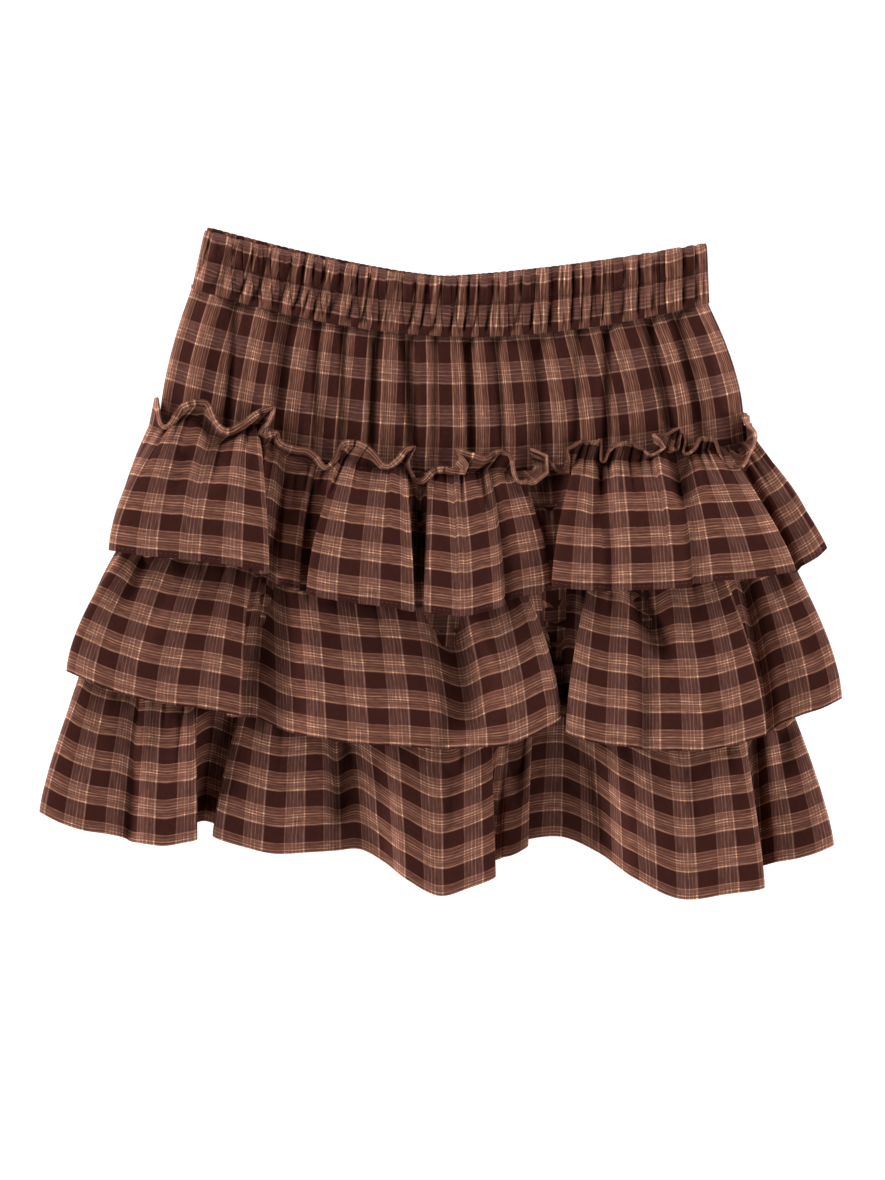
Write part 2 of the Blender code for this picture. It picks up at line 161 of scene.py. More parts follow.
def smooth_through(
    knots: Sequence[float], values: Sequence[float], at: Array, held: bool = False
) -> Array:
    """A cubic through values at knots.

    Args:
        knots: Where the values are given, in rising order.
        values: The value at each knot.
        at: Where the curve is read.
        held: Keeps each stretch between its own two values.

    Returns:
        The curve's values.
    """
    knots = np.asarray(knots, float)
    values = np.asarray(values, float)
    spans = np.diff(knots)
    slopes = np.diff(values) / spans
    before = slopes[:-1]
    after = slopes[1:]
    if held:
        level = before * after <= 0
        total = np.where(level, 1, before + after)
        inner = np.where(level, 0, 2 * before * after / total)
    else:
        inner = (before * spans[1:] + after * spans[:-1]) / (spans[:-1] + spans[1:])
    tangents = np.concatenate([slopes[:1], inner, slopes[-1:]])
    index = np.clip(np.searchsorted(knots, at, side="right") - 1, 0, len(spans) - 1)
    span = spans[index]
    s = np.clip((at - knots[index]) / span, 0, 1)
    ends = values[index] * (1 + 2 * s) * (1 - s) ** 2 + values[index + 1] * (3 - 2 * s) * s**2
    bend = tangents[index] * s * (1 - s) ** 2 - tangents[index + 1] * s**2 * (1 - s)
    return ends + bend * span


def curve(
    rows: Sequence[object], along: str, name: str, at: Array, held: bool = False
) -> Array:
    """A cubic through one field of a table's rows over another, read where asked."""
    return smooth_through(column(rows, along), column(rows, name), at, held)


def bent(start: Array, middle: Array, end: Array, share: Array) -> Array:
    """A place on the curve from start to end that middle pulls at."""
    return start * (1 - share) ** 2 + middle * (2 * share * (1 - share)) + end * share**2


def level(levels: Sequence["Level"], v: Array) -> Array:
    """The height that a table of levels gives at v."""
    return curve(levels, "down", "height", v, held=True)


def walked(points: Array) -> Array:
    """How far along its line, or its column of a grid, each point lies."""
    steps = np.linalg.norm(np.diff(points, axis=0), axis=-1)
    return np.concatenate([np.zeros_like(steps[:1]), np.cumsum(steps, axis=0)])


def steps(count: int) -> Array:
    """Grid lines from 0 to 1, that number of even steps apart."""
    return np.linspace(0, 1, count + 1)


def laid(x: Array, y: Array, z: Array) -> Array:
    """Sighted plan points, brought back along their lines of sight to their heights z.

    Args:
        x: The points' sighted x.
        y: Their sighted y.
        z: Their heights.

    Returns:
        The points, from ORIGIN.
    """
    sight = (AIM - EYE) / np.linalg.norm(AIM - EYE)
    board_y = AIM[1] - (y - AIM[1]) * sight[2]
    board_z = (y - AIM[1]) * sight[1]
    reach = (EYE[2] - z) / (EYE[2] - board_z)
    points = (EYE[0] + (x - EYE[0]) * reach, EYE[1] + (board_y - EYE[1]) * reach, z)
    return np.stack(points, axis=-1) - ORIGIN


@dataclass(frozen=True)
class Edge:
    """A line across the skirt, hanging in a curve between its two ends."""

    left: float
    left_y: float
    low: float
    low_y: float
    right: float
    right_y: float
    power: float = 2.0

    def y_at(self, x: Array) -> Array:
        """The line's y over x.

        Args:
            x: Where it is read.

        Returns:
            Its y there.
        """
        reach = np.where(x < self.low, self.low - self.left, self.right - self.low)
        rise = np.where(x < self.low, self.left_y, self.right_y) - self.low_y
        return self.low_y + rise * (np.abs(x - self.low) / reach) ** self.power


@dataclass(frozen=True)
class Side:
    """Where the two sides of the body lie, at a fraction of the way down."""

    down: float
    left: float
    right: float


@dataclass(frozen=True)
class Level:
    """Height of a piece at a fraction of the way down it."""

    down: float
    height: float


@dataclass(frozen=True)
class Wander:
    """One wave in the pleats' spacing: its size in pleats, its pace and its start in radians."""

    size: float
    pace: float
    start: float


@dataclass(frozen=True)
class Gather:
    """A trough in the yoke, from the waist seam to the ruffle; a ridge has a negative depth."""

    top: float
    bottom: float
    depth: float
    width: float


@dataclass(frozen=True)
class Fold:
    """One fold of a ruffle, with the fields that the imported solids' folds have.

    left, right and height are its edges' x and its crest's z at the hem, and hem_left, hem_crest
    and hem_right the hem's y there. tuck_left and tuck_right are how far the cloth turns back
    under it, seam_left and seam_right its edges' x on the seam, and trough and hem_trough the z
    and y of the hem in the trough on its right.
    """

    left: float
    right: float
    height: float
    hem_left: float
    hem_crest: float
    hem_right: float
    tuck_left: float
    tuck_right: float
    seam_left: float
    seam_right: float
    trough: float
    hem_trough: float


@dataclass(frozen=True)
class Turn:
    """One turn of the heading's hemmed edge.

    seam is the x on the stitching below it, rise its height above the stitching, and band how
    wide the turned hem shows from above.
    """

    seam: float
    x: float
    y: float
    rise: float
    band: float


@dataclass(frozen=True)
class Crease:
    """A soft ridge or trough along a sighted path.

    lift is its greatest height, below 0 for a trough. left and right are how far it spreads to
    the left and the right hand of one who walks along its path, and opens and closes the parts of
    its length over which it comes and goes.
    """

    lift: float
    left: float
    right: float
    path: tuple[tuple[float, float], ...]
    opens: float = 0.3
    closes: float = 0.3

    def height(self, x: Array, y: Array) -> Array:
        """The crease's height over sighted plan points.

        Args:
            x: The points' sighted x.
            y: Their sighted y.

        Returns:
            How far it lifts the cloth at each.
        """
        path = np.array(self.path, float)
        starts = path[:-1]
        runs = path[1:] - starts
        lengths = np.hypot(*runs.T)
        before = np.concatenate([[0], np.cumsum(lengths)[:-1]])
        nearest = np.full(np.shape(x), np.inf)
        along = np.zeros_like(nearest)
        across = np.zeros_like(nearest)
        for (start_x, start_y), (run_x, run_y), length, offset in zip(starts, runs, lengths, before):
            away_x = x - start_x
            away_y = y - start_y
            share = np.clip((away_x * run_x + away_y * run_y) / length**2, 0, 1)
            distance = np.hypot(away_x - share * run_x, away_y - share * run_y)
            closer = distance < nearest
            nearest = np.where(closer, distance, nearest)
            along = np.where(closer, offset + share * length, along)
            across = np.where(closer, run_x * away_y - run_y * away_x, across)
        along = along / lengths.sum()
        width = np.where(across > 0, self.left, self.right)
        ends = eased(along / max(self.opens, 1e-3)) * eased((1 - along) / max(self.closes, 1e-3))
        return self.lift * bump(nearest, width) * ends


@dataclass(frozen=True)
class Puckers:
    """Small gathers that run down from a line of stitching, uneven in size and spacing.

    seed starts their random draws. spacing, depth, width and reach are their means, and start and
    end the x of the stitching's ends.
    """

    seed: int
    spacing: float
    depth: float
    width: float
    reach: float
    start: float
    end: float

    def rows(self) -> Array:
        """A row for each gather: its place on the seam, depth, width and reach.

        Returns:
            The rows.
        """
        draw = np.random.default_rng(self.seed)
        count = int((self.end - self.start) / self.spacing)
        steps = draw.uniform(0.45, 1.55, count)
        places = self.start + (self.end - self.start) * np.cumsum(steps) / steps.sum()
        depths = self.depth * draw.uniform(0.3, 1.2, count)
        widths = self.width * draw.uniform(0.6, 1.4, count)
        reaches = self.reach * draw.uniform(0.35, 1.3, count)
        return np.stack([places, depths, widths, reaches], axis=-1)

    def rise_at(self, seam_x: Array, down: Array) -> Array:
        """How high the cloth stands between the gathers, when their troughs stay on the seat."""
        crest = self.depth * (1 - eased(down / self.reach))
        return np.maximum(crest - self.depth_at(seam_x, down), 0)

    def depth_at(self, seam_x: Array, down: Array) -> Array:
        """How deep the gathers are over the seam's x, at a fraction of the way down.

        Args:
            seam_x: The seam's x over which the cloth hangs.
            down: How far down it is, from 0 to 1.

        Returns:
            The depth at each.
        """
        total = np.zeros(np.broadcast(seam_x, down).shape)
        for place, depth, width, reach in self.rows():
            spread = width * (1 + 1.5 * np.clip(down, 0, 1))
            total += depth * bump(seam_x - place, spread) * (1 - eased(down / reach))
        return total


WAIST_TOP = Edge(-148, 211.5, 5, 182, 172, 203.5, 1.4)
BACK_WAIST_TOP = Edge(-147, 214, 5, 182.6, 171, 202.5, 1.35)
WAIST_SEAM = Edge(-156, 175, 21, 144, 173.5, 165.5, 1.85)
BODY_HEM = Edge(-208, -62, 8, -95, 211, -72)

BODY_SIDES = (
    Side(0.00, -157, 173.5),
    Side(0.10, -165, 184),
    Side(0.24, -173.5, 194),
    Side(0.36, -178, 197),
    Side(0.64, -190, 208),
    Side(1.00, -208, 211),
)
BACK_BODY_LEVELS = (
    Level(0.00, 0),
    Level(0.20, 0),
    Level(0.40, BACK_BODY_LIFT),
    Level(1.00, BACK_BODY_LIFT),
)
FRONT_BODY_LEVELS = (
    Level(0.00, 9.0),
    Level(0.42, 9.0),
    Level(0.55, 7.6),
    Level(1.00, 7.6),
)
CASING_LEVELS = (
    Level(0.00, 4.6),
    Level(0.12, 10.4),
    Level(0.28, 12.0),
    Level(0.50, 8.6),
    Level(0.74, 12.0),
    Level(0.92, 10.6),
    Level(1.00, 9.6),
)
PLEAT_WANDERS = (
    Wander(0.42, 23.2, 1.0),
    Wander(0.25, 57.2, 0.5),
)
YOKE_GATHERS = (
    Gather(-143, -168, -2.5, 5),
    Gather(-130, -136, 4, 3),
    Gather(-112, -122, -2, 4),
    Gather(-98, -106, 6.5, 6),
    Gather(-77, -80, 3.5, 3),
    Gather(-60, -63, 3.5, 3),
    Gather(-40, -44, 6, 3),
    Gather(-20, -14, 6.5, 4),
    Gather(-2, -4, 2.5, 2.5),
    Gather(19, 24, 5, 3.5),
    Gather(37, 45, 3, 3),
    Gather(60, 68, 6.5, 7),
    Gather(90, 86, 2.5, 3.5),
    Gather(108, 108, 5, 3.5),
    Gather(134, 158, 6, 4),
    Gather(152, 176, 4.5, 4),
    Gather(167, 192, -2.5, 4),
)
GATHER_END = 0.46
GATHER_FADE = 0.36
YOKE_SWELL = 0.6  # how far the cloth swells beside a gather, as a part of its depth

FRILL = (
    Turn(-184, -178, 105, 3, 2.5),
    Turn(-180.3, -176, 91, 5, 3),
    Turn(-168.6, -164, 101, 8, 4.5),
    Turn(-158.1, -152, 104, 4, 4.6),
    Turn(-151, -145, 101, 6, 4.4),
    Turn(-145.7, -140, 90, 8, 3.6),
    Turn(-141.9, -136, 86, 9, 4.2),
    Turn(-133.7, -127, 89, 9, 4.6),
    Turn(-124, -117, 96, 6, 4.4),
    Turn(-120.5, -113, 98, 6, 3.6),
    Turn(-114.2, -104, 94, 8, 2.6),
    Turn(-113.3, -106, 89, 8, 2.6),
    Turn(-111.8, -112, 82, 8, 3.2),
    Turn(-110, -106, 84, 9, 4),
    Turn(-102.6, -99, 77, 10, 4.2),
    Turn(-95.5, -91, 74, 9, 4.4),
    Turn(-86.2, -81, 72, 9, 4.2),
    Turn(-81.8, -76, 68, 9, 4),
    Turn(-76.8, -71, 62, 8, 3.6),
    Turn(-73, -67, 66, 7, 3.4),
    Turn(-67.4, -62, 76, 7, 3.8),
    Turn(-60.4, -54, 78, 6, 4.4),
    Turn(-52.1, -45, 75, 5, 4.4),
    Turn(-45.5, -38, 69, 7, 4),
    Turn(-40.3, -33, 63, 9, 3.6),
    Turn(-34.3, -27, 66, 9, 3.8),
    Turn(-26.8, -19, 74, 7, 3.4),
    Turn(-23, -14, 71, 6, 2.2),
    Turn(-22, -17, 66, 5, 1.8),
    Turn(-19.1, -14, 55, 6, 2.2),
    Turn(-15, -10, 53, 8, 3.4),
    Turn(-10, -4, 59, 10, 4),
    Turn(-0.6, 6, 61, 9, 4.4),
    Turn(4.6, 12, 60, 9, 4),
    Turn(8.2, 17, 62, 9, 3),
    Turn(9.3, 13, 68, 9, 2.4),
    Turn(15.7, 22, 70, 9, 4.2),
    Turn(24.5, 31, 68, 6, 4),
    Turn(29.3, 36, 71, 5, 3.2),
    Turn(36.3, 44, 71, 6, 2.4),
    Turn(41.3, 49, 66, 7, 2.4),
    Turn(43.9, 51, 56, 8, 2.6),
    Turn(50.4, 58, 53, 9, 3),
    Turn(57.5, 65, 55, 10, 2.8),
    Turn(60.1, 71, 62, 9, 2.2),
    Turn(61.4, 67, 69, 9, 2),
    Turn(62.3, 62, 70, 9, 2.4),
    Turn(68.3, 72, 65, 8, 1.6),
    Turn(75.8, 80, 58, 6, 1.6),
    Turn(79.3, 85, 59, 7, 1.4),
    Turn(81, 82, 69, 8, 1.4),
    Turn(84.9, 87, 75, 8, 1.6),
    Turn(96.6, 100, 77, 5, 1.6),
    Turn(102.6, 106, 74, 7, 1.4),
    Turn(104, 106, 66, 8, 1.2),
    Turn(107.5, 109, 71, 9, 1.4),
    Turn(112.5, 115, 76, 7, 1.8),
    Turn(120, 123, 77, 5, 1.6),
    Turn(128.9, 132, 73, 6, 1.6),
    Turn(136.5, 141, 71, 8, 1.4),
    Turn(137.9, 145, 74, 8, 1.2),
    Turn(139.6, 138, 80, 8, 1.4),
    Turn(143.8, 145, 82, 5, 1.4),
    Turn(156, 159, 80, 4, 1.4),
    Turn(157, 160, 77, 5, 1.2),
    Turn(157.7, 159, 73, 5, 1.4),
    Turn(161.8, 164, 73, 8, 1.6),
    Turn(165.3, 167, 79, 8, 1.8),
    Turn(171.2, 173, 80, 7, 2.2),
    Turn(177.7, 180, 76, 7, 2),
    Turn(179.9, 182, 69, 7, 1.8),
    Turn(189, 191, 62, 13, 1.8),
    Turn(195.2, 198, 68, 11, 2),
    Turn(197.7, 202, 82, 9, 2.4),
    Turn(199.1, 196, 89, 8, 2.6),
    Turn(200, 195, 94, 7, 3),
    Turn(203, 200, 94, 3, 2),
)

UPPER_FOLDS = (
    Fold(-208, -108, 36, 7, 1, -7, 2, 9, -182, -107, 18, -10),
    Fold(-103, -88, 25, -14, -16, -18, 0, 4, -98, -76, 18, -19),
    Fold(-83, -15, 37, -21, -27, -32, 8, 8, -65, -16, 20, -30),
    Fold(-8, 42, 36, -32, -35, -28, 6, 0, -8, 33, 27, -25),
    Fold(45, 73, 29, -25, -21, -18, 0, 6, 35, 53, 16, -16),
    Fold(74, 109, 37, -16, -18, -19, 9, 0, 88, 104, 36, -19),
    Fold(112, 162, 39, -19, -18, -16, 0, 0, 108, 150, 36.5, -14),
    Fold(167, 229, 38, -14, -11, -6, 0, 8, 156, 186, 14, -6),
    Fold(229, 249, 19, -7, 0, 8, 0, 2, 188, 202, 0, 8),
)
MIDDLE_FOLDS = (
    Fold(-235, -126, 37, -71, -90, -99, 2, 8, -196, -112, 17, -100),
    Fold(-98, 2, 36, -108, -117, -120, 0, 0, -104, -14, 30, -120),
    Fold(7, 79, 38, -120, -118, -101, 0, 10, -11, 58, 13, -99),
    Fold(83, 130, 38, -110, -117, -120, 8, 0, 97, 130, 33, -121),
    Fold(135, 210, 38, -121, -121, -111, 0, 8, 133, 182, 14, -107),
    Fold(210, 258, 22, -110, -98, -88, 0, 2, 189, 221, 0, -88),
)
LOWER_FOLDS = (
    Fold(-253, -200, 31, -161, -172, -177, 2, 0, -223, -190, 26, -178),
    Fold(-196, -154, 34, -179, -182, -178, 0, 8, -188, -152, 6, -166),
    Fold(-143, -65, 29, -176, -187, -185, 6, 0, -127, -68, 19, -184),
    Fold(-34, 37, 38, -192, -214, -202, 0, 9, -43, 40, 9, -191),
    Fold(38, 58, 14, -191, -188, -182, 0, 3, 45, 63, 5, -176),
    Fold(103, 209, 38, -186, -216, -209, 0, 8, 98, 197, 9, -196),
    Fold(208, 253, 20, -195, -190, -182, 0, 2, 202, 216, 0, -182),
)

UPPER_CREASES = (
    Crease(3.5, 8, 5, ((-115, 77), (-132, 53), (-164, 33)), 0.15, 0.5),
    Crease(-4.0, 6, 7, ((-158, 72), (-166, 52), (-176, 34)), 0.15, 0.5),
    Crease(-7.0, 14, 9, ((-96, 82), (-97, 45), (-99, 4)), 0.0, 0.4),
    Crease(-10.0, 4.5, 4.5, ((-14, 62), (-11, 27), (-9, -14)), 0.05, 0.3),
    Crease(-4.0, 3.5, 3.5, ((12, 62), (14, 44), (14, 22)), 0.05, 0.6),
    Crease(-3.5, 3, 3, ((28, 62), (30, 42), (34, 18)), 0.05, 0.6),
    Crease(3.0, 5, 5, ((43, 61), (52, 30), (58, -10)), 0.15, 0.3),
    Crease(-9.0, 10, 13, ((67, 86), (69, 52), (73, 14)), 0.0, 0.4),
    Crease(-6.0, 5, 6, ((105, 66), (101, 38), (98, 10)), 0.05, 0.4),
    Crease(2.5, 8, 7, ((124, 58), (128, 30), (134, 4)), 0.1, 0.5),
    Crease(-14.0, 10, 5, ((150, 70), (154, 50), (163, 28)), 0.0, 0.45),
    Crease(2.5, 6, 6, ((176, 66), (205, 28), (224, -4)), 0.2, 0.3),
)
MIDDLE_CREASES = (
    Crease(4.0, 8, 6, ((-165, 0), (-168, -27), (-180, -50), (-192, -78)), 0.1, 0.4),
    Crease(-7.0, 6, 7, ((-188, 4), (-194, -16), (-206, -36)), 0.05, 0.5),
    Crease(-6.0, 16, 7, ((-105, 2), (-112, -37), (-121, -86)), 0.02, 0.35),
    Crease(3.0, 8, 6, ((-76, -22), (-84, -60), (-93, -98)), 0.1, 0.3),
    Crease(-18.0, 16, 17, ((2, -14), (11, -57), (18, -89), (20, -118)), 0.0, 0.2),
    Crease(4.0, 7, 5, ((20, -30), (32, -53), (42, -72), (48, -102)), 0.1, 0.3),
    Crease(-7.0, 10, 13, ((76, 0), (77, -62)), 0.0, 0.35),
    Crease(-7.0, 5, 6, ((76, -42), (79, -104)), 0.3, 0.1),
    Crease(-14.0, 8, 8, ((124, -8), (132, -33), (144, -54), (152, -78)), 0.0, 0.5),
    Crease(-4.0, 9, 4, ((193, -8), (202, -42), (211, -86)), 0.0, 0.6),
    Crease(2.5, 5, 5, ((214, -27), (228, -56), (241, -77)), 0.1, 0.3),
)
LOWER_CREASES = (
    Crease(3.0, 5, 6, ((-192, -101), (-189, -112), (-197, -136)), 0.1, 0.3),
    Crease(5.0, 4, 9, ((-160, -96), (-159, -130), (-157, -160)), 0.1, 0.3),
    Crease(-12.0, 12, 5, ((-141, -94), (-143, -130), (-146, -162)), 0.02, 0.3),
    Crease(-14.0, 11, 8, ((-66, -112), (-65, -140), (-61, -174)), 0.0, 0.3),
    Crease(4.0, 9, 8, ((-46, -138), (-34, -164), (-24, -192)), 0.3, 0.2),
    Crease(-4.0, 6, 6, ((10, -130), (8, -160), (6, -190)), 0.1, 0.5),
    Crease(-10.0, 8, 9, ((49, -110), (50, -166)), 0.0, 0.7),
    Crease(-13.0, 13, 12, ((70, -106), (77, -156)), 0.0, 0.6),
    Crease(-4.0, 6, 5, ((88, -114), (99, -129), (102, -146), (109, -174), (124, -200)), 0.1, 0.1),
    Crease(4.0, 8, 9, ((120, -128), (127, -158), (139, -192)), 0.2, 0.2),
    Crease(-4.0, 7, 7, ((160, -128), (164, -158), (168, -192)), 0.1, 0.4),
    Crease(-5.0, 9, 4, ((219, -106), (222, -150)), 0.0, 0.6),
)


class Way(Enum):
    """Which way the plaid's strong bands run on a piece."""

    ACROSS = "across"
    DOWN = "down"


@dataclass(frozen=True)
class Line:
    """Coloured yarns inside a band: their middle and width in mm, and how bright they are."""

    at: float
    width: float
    share: float


@dataclass(frozen=True)
class Repeat:
    """One family of a plaid's bands: a broad band with lines in it, then bare ground.

    band and line are the light that the broad band and its brightest lines add to the ground.
    """

    length: float
    broad: float
    band: Colour
    line: Colour
    lines: tuple[Line, ...]
    soft: float = 0.1

    def stops(self) -> list[tuple[float, tuple[float, float, float, float]]]:
        """The stops of a ramp over one repeat, with soft steps between its colours.

        Returns:
            Each stop's position and colour.
        """
        bare = (0.0, 0.0, 0.0)
        steps = [(0.0, self.band)]
        for line in self.lines:
            lit = tuple(mix(a, b, line.share) for a, b in zip(self.band, self.line))
            steps.append((line.at - line.width / 2, lit))
            steps.append((line.at + line.width / 2, self.band))
        steps.append((self.broad, bare))
        stops = [(0.0, (*steps[0][1], 1.0))]
        for (_, before), (place, after) in zip(steps, steps[1:]):
            stops.append(((place - self.soft / 2) / self.length, (*before, 1.0)))
            stops.append(((place + self.soft / 2) / self.length, (*after, 1.0)))
        return stops


class Wire:
    """A number in a material's node tree, on which arithmetic adds Math nodes."""

    def __init__(self, graph: "Graph", socket: bpy.types.NodeSocket) -> None:
        """Wraps an output socket of a graph's node."""
        self.graph = graph
        self.socket = socket

    def __add__(self, other: "Wire | float") -> "Wire":
        """This and another, added."""
        return self.graph.math("ADD", self, other)

    __radd__ = __add__

    def __sub__(self, other: "Wire | float") -> "Wire":
        """Another taken from this."""
        return self.graph.math("SUBTRACT", self, other)

    def __rsub__(self, other: float) -> "Wire":
        """This taken from a number."""
        return self.graph.math("SUBTRACT", other, self)

    def __mul__(self, other: "Wire | float") -> "Wire":
        """This times another."""
        return self.graph.math("MULTIPLY", self, other)

    __rmul__ = __mul__

    def __truediv__(self, other: "Wire | float") -> "Wire":
        """This divided by another."""
        return self.graph.math("DIVIDE", self, other)

    def __rtruediv__(self, other: float) -> "Wire":
        """A number divided by this."""
        return self.graph.math("DIVIDE", other, self)


class Graph:
    """The node tree of one new material."""

    def __init__(self, name: str) -> None:
        """Makes an empty material of that name.

        Args:
            name: The material's name.
        """
        self.material = bpy.data.materials.new(name)
        self.material.use_nodes = True
        self.tree = self.material.node_tree
        self.tree.nodes.clear()

    def node(
        self,
        kind: str,
        settings: dict[str, object] | None = None,
        values: dict[str | int, object] | None = None,
    ) -> bpy.types.Node:
        """Adds a node.

        Args:
            kind: The node's type.
            settings: Its properties; "stops" is a ramp's list of positions and colours.
            values: What its input sockets take, by name or number: a link or a value.

        Returns:
            The node.
        """
        made = self.tree.nodes.new(kind)
        for key, value in (settings or {}).items():
            if key != "stops":
                setattr(made, key, value)
                continue
            elements = made.color_ramp.elements
            while len(elements) > 1:
                elements.remove(elements[-1])
            elements[0].position, elements[0].color = value[0]
            for position, colour in value[1:]:
                elements.new(position).color = colour
        for key, value in (values or {}).items():
            source = value.socket if isinstance(value, Wire) else value
            if isinstance(source, bpy.types.NodeSocket):
                self.tree.links.new(source, made.inputs[key])
            else:
                made.inputs[key].default_value = source
        return made

    def math(self, operation: str, *values: Wire | float) -> Wire:
        """A Math node's result."""
        made = self.node("ShaderNodeMath", {"operation": operation}, dict(enumerate(values)))
        return Wire(self, made.outputs[0])

    def colour(
        self, operation: str, share: Wire | float, a: object, b: object
    ) -> bpy.types.NodeSocket:
        """Two colours put together by a Mix node.

        Args:
            operation: How b goes on a, such as MIX or ADD.
            share: How much of b goes on.
            a: The first colour, a link or a value.
            b: The second.

        Returns:
            The mixed colour's socket.
        """
        settings = {"data_type": "RGBA", "blend_type": operation}
        return self.node("ShaderNodeMix", settings, {0: share, 6: a, 7: b}).outputs[2]

    def noise(self, x: Wire, y: Wire, scale: float, detail: float = 2.0) -> Wire:
        """Noise from 0 to 1 over two coordinates.

        Args:
            x: The first coordinate.
            y: The second.
            scale: How fine it is.
            detail: How many finer layers it has.

        Returns:
            The noise.
        """
        vector = self.node("ShaderNodeCombineXYZ", values={0: x, 1: y}).outputs[0]
        made = self.node(
            "ShaderNodeTexNoise",
            {"noise_dimensions": "2D"},
            {"Vector": vector, "Scale": scale, "Detail": detail},
        )
        return Wire(self, made.outputs["Fac"])

    def grain(self, scale: float) -> Wire:
        """Noise from 0 to 1 over the piece's Object coordinates.

        Args:
            scale: How fine it is.

        Returns:
            The noise.
        """
        where = self.node("ShaderNodeTexCoord").outputs["Object"]
        made = self.node("ShaderNodeTexNoise", values={"Vector": where, "Scale": scale})
        return Wire(self, made.outputs["Fac"])

    def grey(self, light: Wire) -> bpy.types.NodeSocket:
        """A grey of that light."""
        return self.node("ShaderNodeCombineColor", values={0: light, 1: light, 2: light}).outputs[0]

    def raised(self, strength: float, distance: float, height: Wire) -> bpy.types.NodeSocket:
        """A normal over a relief whose full height is the distance, in metres."""
        values = {"Strength": strength, "Distance": distance, "Height": height}
        return self.node("ShaderNodeBump", values=values).outputs[0]

    def finish(self, values: dict[str, object]) -> bpy.types.Material:
        """The material, once its surface has taken those values.

        Args:
            values: What the surface's sockets take, by name: a link or a value.

        Returns:
            The material.
        """
        surface = self.node("ShaderNodeBsdfPrincipled", values=values)
        self.node("ShaderNodeOutputMaterial", values={"Surface": surface.outputs[0]})
        return self.material


STRONG = Repeat(
    length=22.5,
    broad=12.4,
    band=(0.081, 0.0345, 0.0240),
    line=(0.262, 0.130, 0.083),
    lines=(
        Line(0.87, 0.9, 1.0),
        Line(2.23, 0.6, 0.35),
        Line(4.22, 0.6, 0.35),
        Line(5.83, 0.65, 0.95),
        Line(7.56, 0.65, 0.95),
        Line(9.55, 0.6, 0.4),
        Line(12.03, 0.6, 0.5),
    ),
)
WEAK = Repeat(
    length=26.7,
    broad=13.7,
    band=(0.058, 0.0275, 0.0212),
    line=(0.160, 0.085, 0.065),
    lines=(
        Line(0.55, 0.6, 0.45),
        Line(3.2, 0.6, 0.3),
        Line(5.48, 0.65, 0.75),
        Line(7.95, 0.7, 0.75),
        Line(10.4, 0.6, 0.3),
        Line(12.74, 1.0, 1.0),
    ),
)


@dataclass(frozen=True)
class Plaid:
    """Brushed cotton, woven in a brown ground with tan bands one way and grey ones the other."""

    name: str
    ground: Colour = (0.048, 0.0136, 0.0100)
    strong: Repeat = STRONG
    weak: Repeat = WEAK
    crossing: Colour = (190.0, 138.0, 74.0)  # what bright lines gain where they cross
    weave: float = 0.55  # mm from thread to thread
    streak: float = 1.1  # how much brighter and darker single threads are
    wobble: float = 0.8  # mm by which the bands stray
    worn: tuple[float, float] = (0.82, 0.36)  # least light of the nap, and what it gains
    rough: float = 0.92

    def band(self, graph: Graph, at: Wire, repeat: Repeat) -> bpy.types.NodeSocket:
        """The light that one family of yarns adds over a coordinate in mm.

        Args:
            graph: The material's node tree.
            at: The coordinate.
            repeat: The family.

        Returns:
            The light's socket.
        """
        turn = graph.math("FRACT", at / repeat.length)
        ramp = graph.node("ShaderNodeValToRGB", {"stops": repeat.stops()}, {"Fac": turn})
        return ramp.outputs["Color"]

    def make(self) -> bpy.types.Material:
        """The finish, on the piece's own map: X runs over the weak bands, Y over the strong.

        Returns:
            The material.
        """
        graph = Graph(self.name)
        where = graph.node("ShaderNodeUVMap", {"uv_map": "weave"}).outputs[0]
        axes = graph.node("ShaderNodeSeparateXYZ", values={0: where})
        over_weak = Wire(graph, axes.outputs[0]) * 1000.0
        over_strong = Wire(graph, axes.outputs[1]) * 1000.0
        stray = (graph.noise(over_weak, over_strong, 0.05, 1.0) - 0.5) * self.wobble
        strong = self.band(graph, over_strong + stray, self.strong)
        weak = self.band(graph, over_weak + stray, self.weak)
        strong_thread = graph.noise(over_weak * 0.1, over_strong * 1.5, 1.0)
        weak_thread = graph.noise(over_weak * 1.5, over_strong * 0.1, 1.0)
        nap = graph.noise(over_weak, over_strong, 0.35, 3.0)
        strong = graph.colour("MULTIPLY", 1.0, strong, self.streaked(graph, strong_thread))
        weak = graph.colour("MULTIPLY", 1.0, weak, self.streaked(graph, weak_thread))
        cloth = graph.colour("ADD", 1.0, (*self.ground, 1.0), strong)
        cloth = graph.colour("ADD", 1.0, cloth, weak)
        over, under = (
            Wire(graph, graph.node("ShaderNodeSeparateColor", values={0: yarn}).outputs[0])
            for yarn in (strong, weak)
        )
        both = over * over * under * under
        gain = (both * share for share in self.crossing)
        lift = graph.node("ShaderNodeCombineColor", values=dict(enumerate(gain))).outputs[0]
        cloth = graph.colour("ADD", 1.0, cloth, lift)
        least, gained = self.worn
        cloth = graph.colour("MULTIPLY", 1.0, cloth, graph.grey(least + gained * nap))
        step = 2 * math.pi / self.weave
        threads = graph.math("SINE", over_weak * step) * graph.math("SINE", over_strong * step)
        relief = threads * 0.5 + strong_thread + weak_thread + nap
        return graph.finish(
            {
                "Base Color": cloth,
                "Roughness": self.rough,
                "Specular IOR Level": 0.05,
                "Sheen Weight": 0.02,
                "Sheen Roughness": 0.5,
                "Sheen Tint": (0.9, 0.72, 0.62, 1.0),
                "Normal": graph.raised(0.35, 0.0002, relief),
            }
        )

    def streaked(self, graph: Graph, thread: Wire) -> bpy.types.NodeSocket:
        """A grey that follows single threads, to multiply a band by."""
        light = (1.0 - self.streak) + (2.0 * self.streak) * thread
        return graph.grey(graph.math("MAXIMUM", light, 0.1))


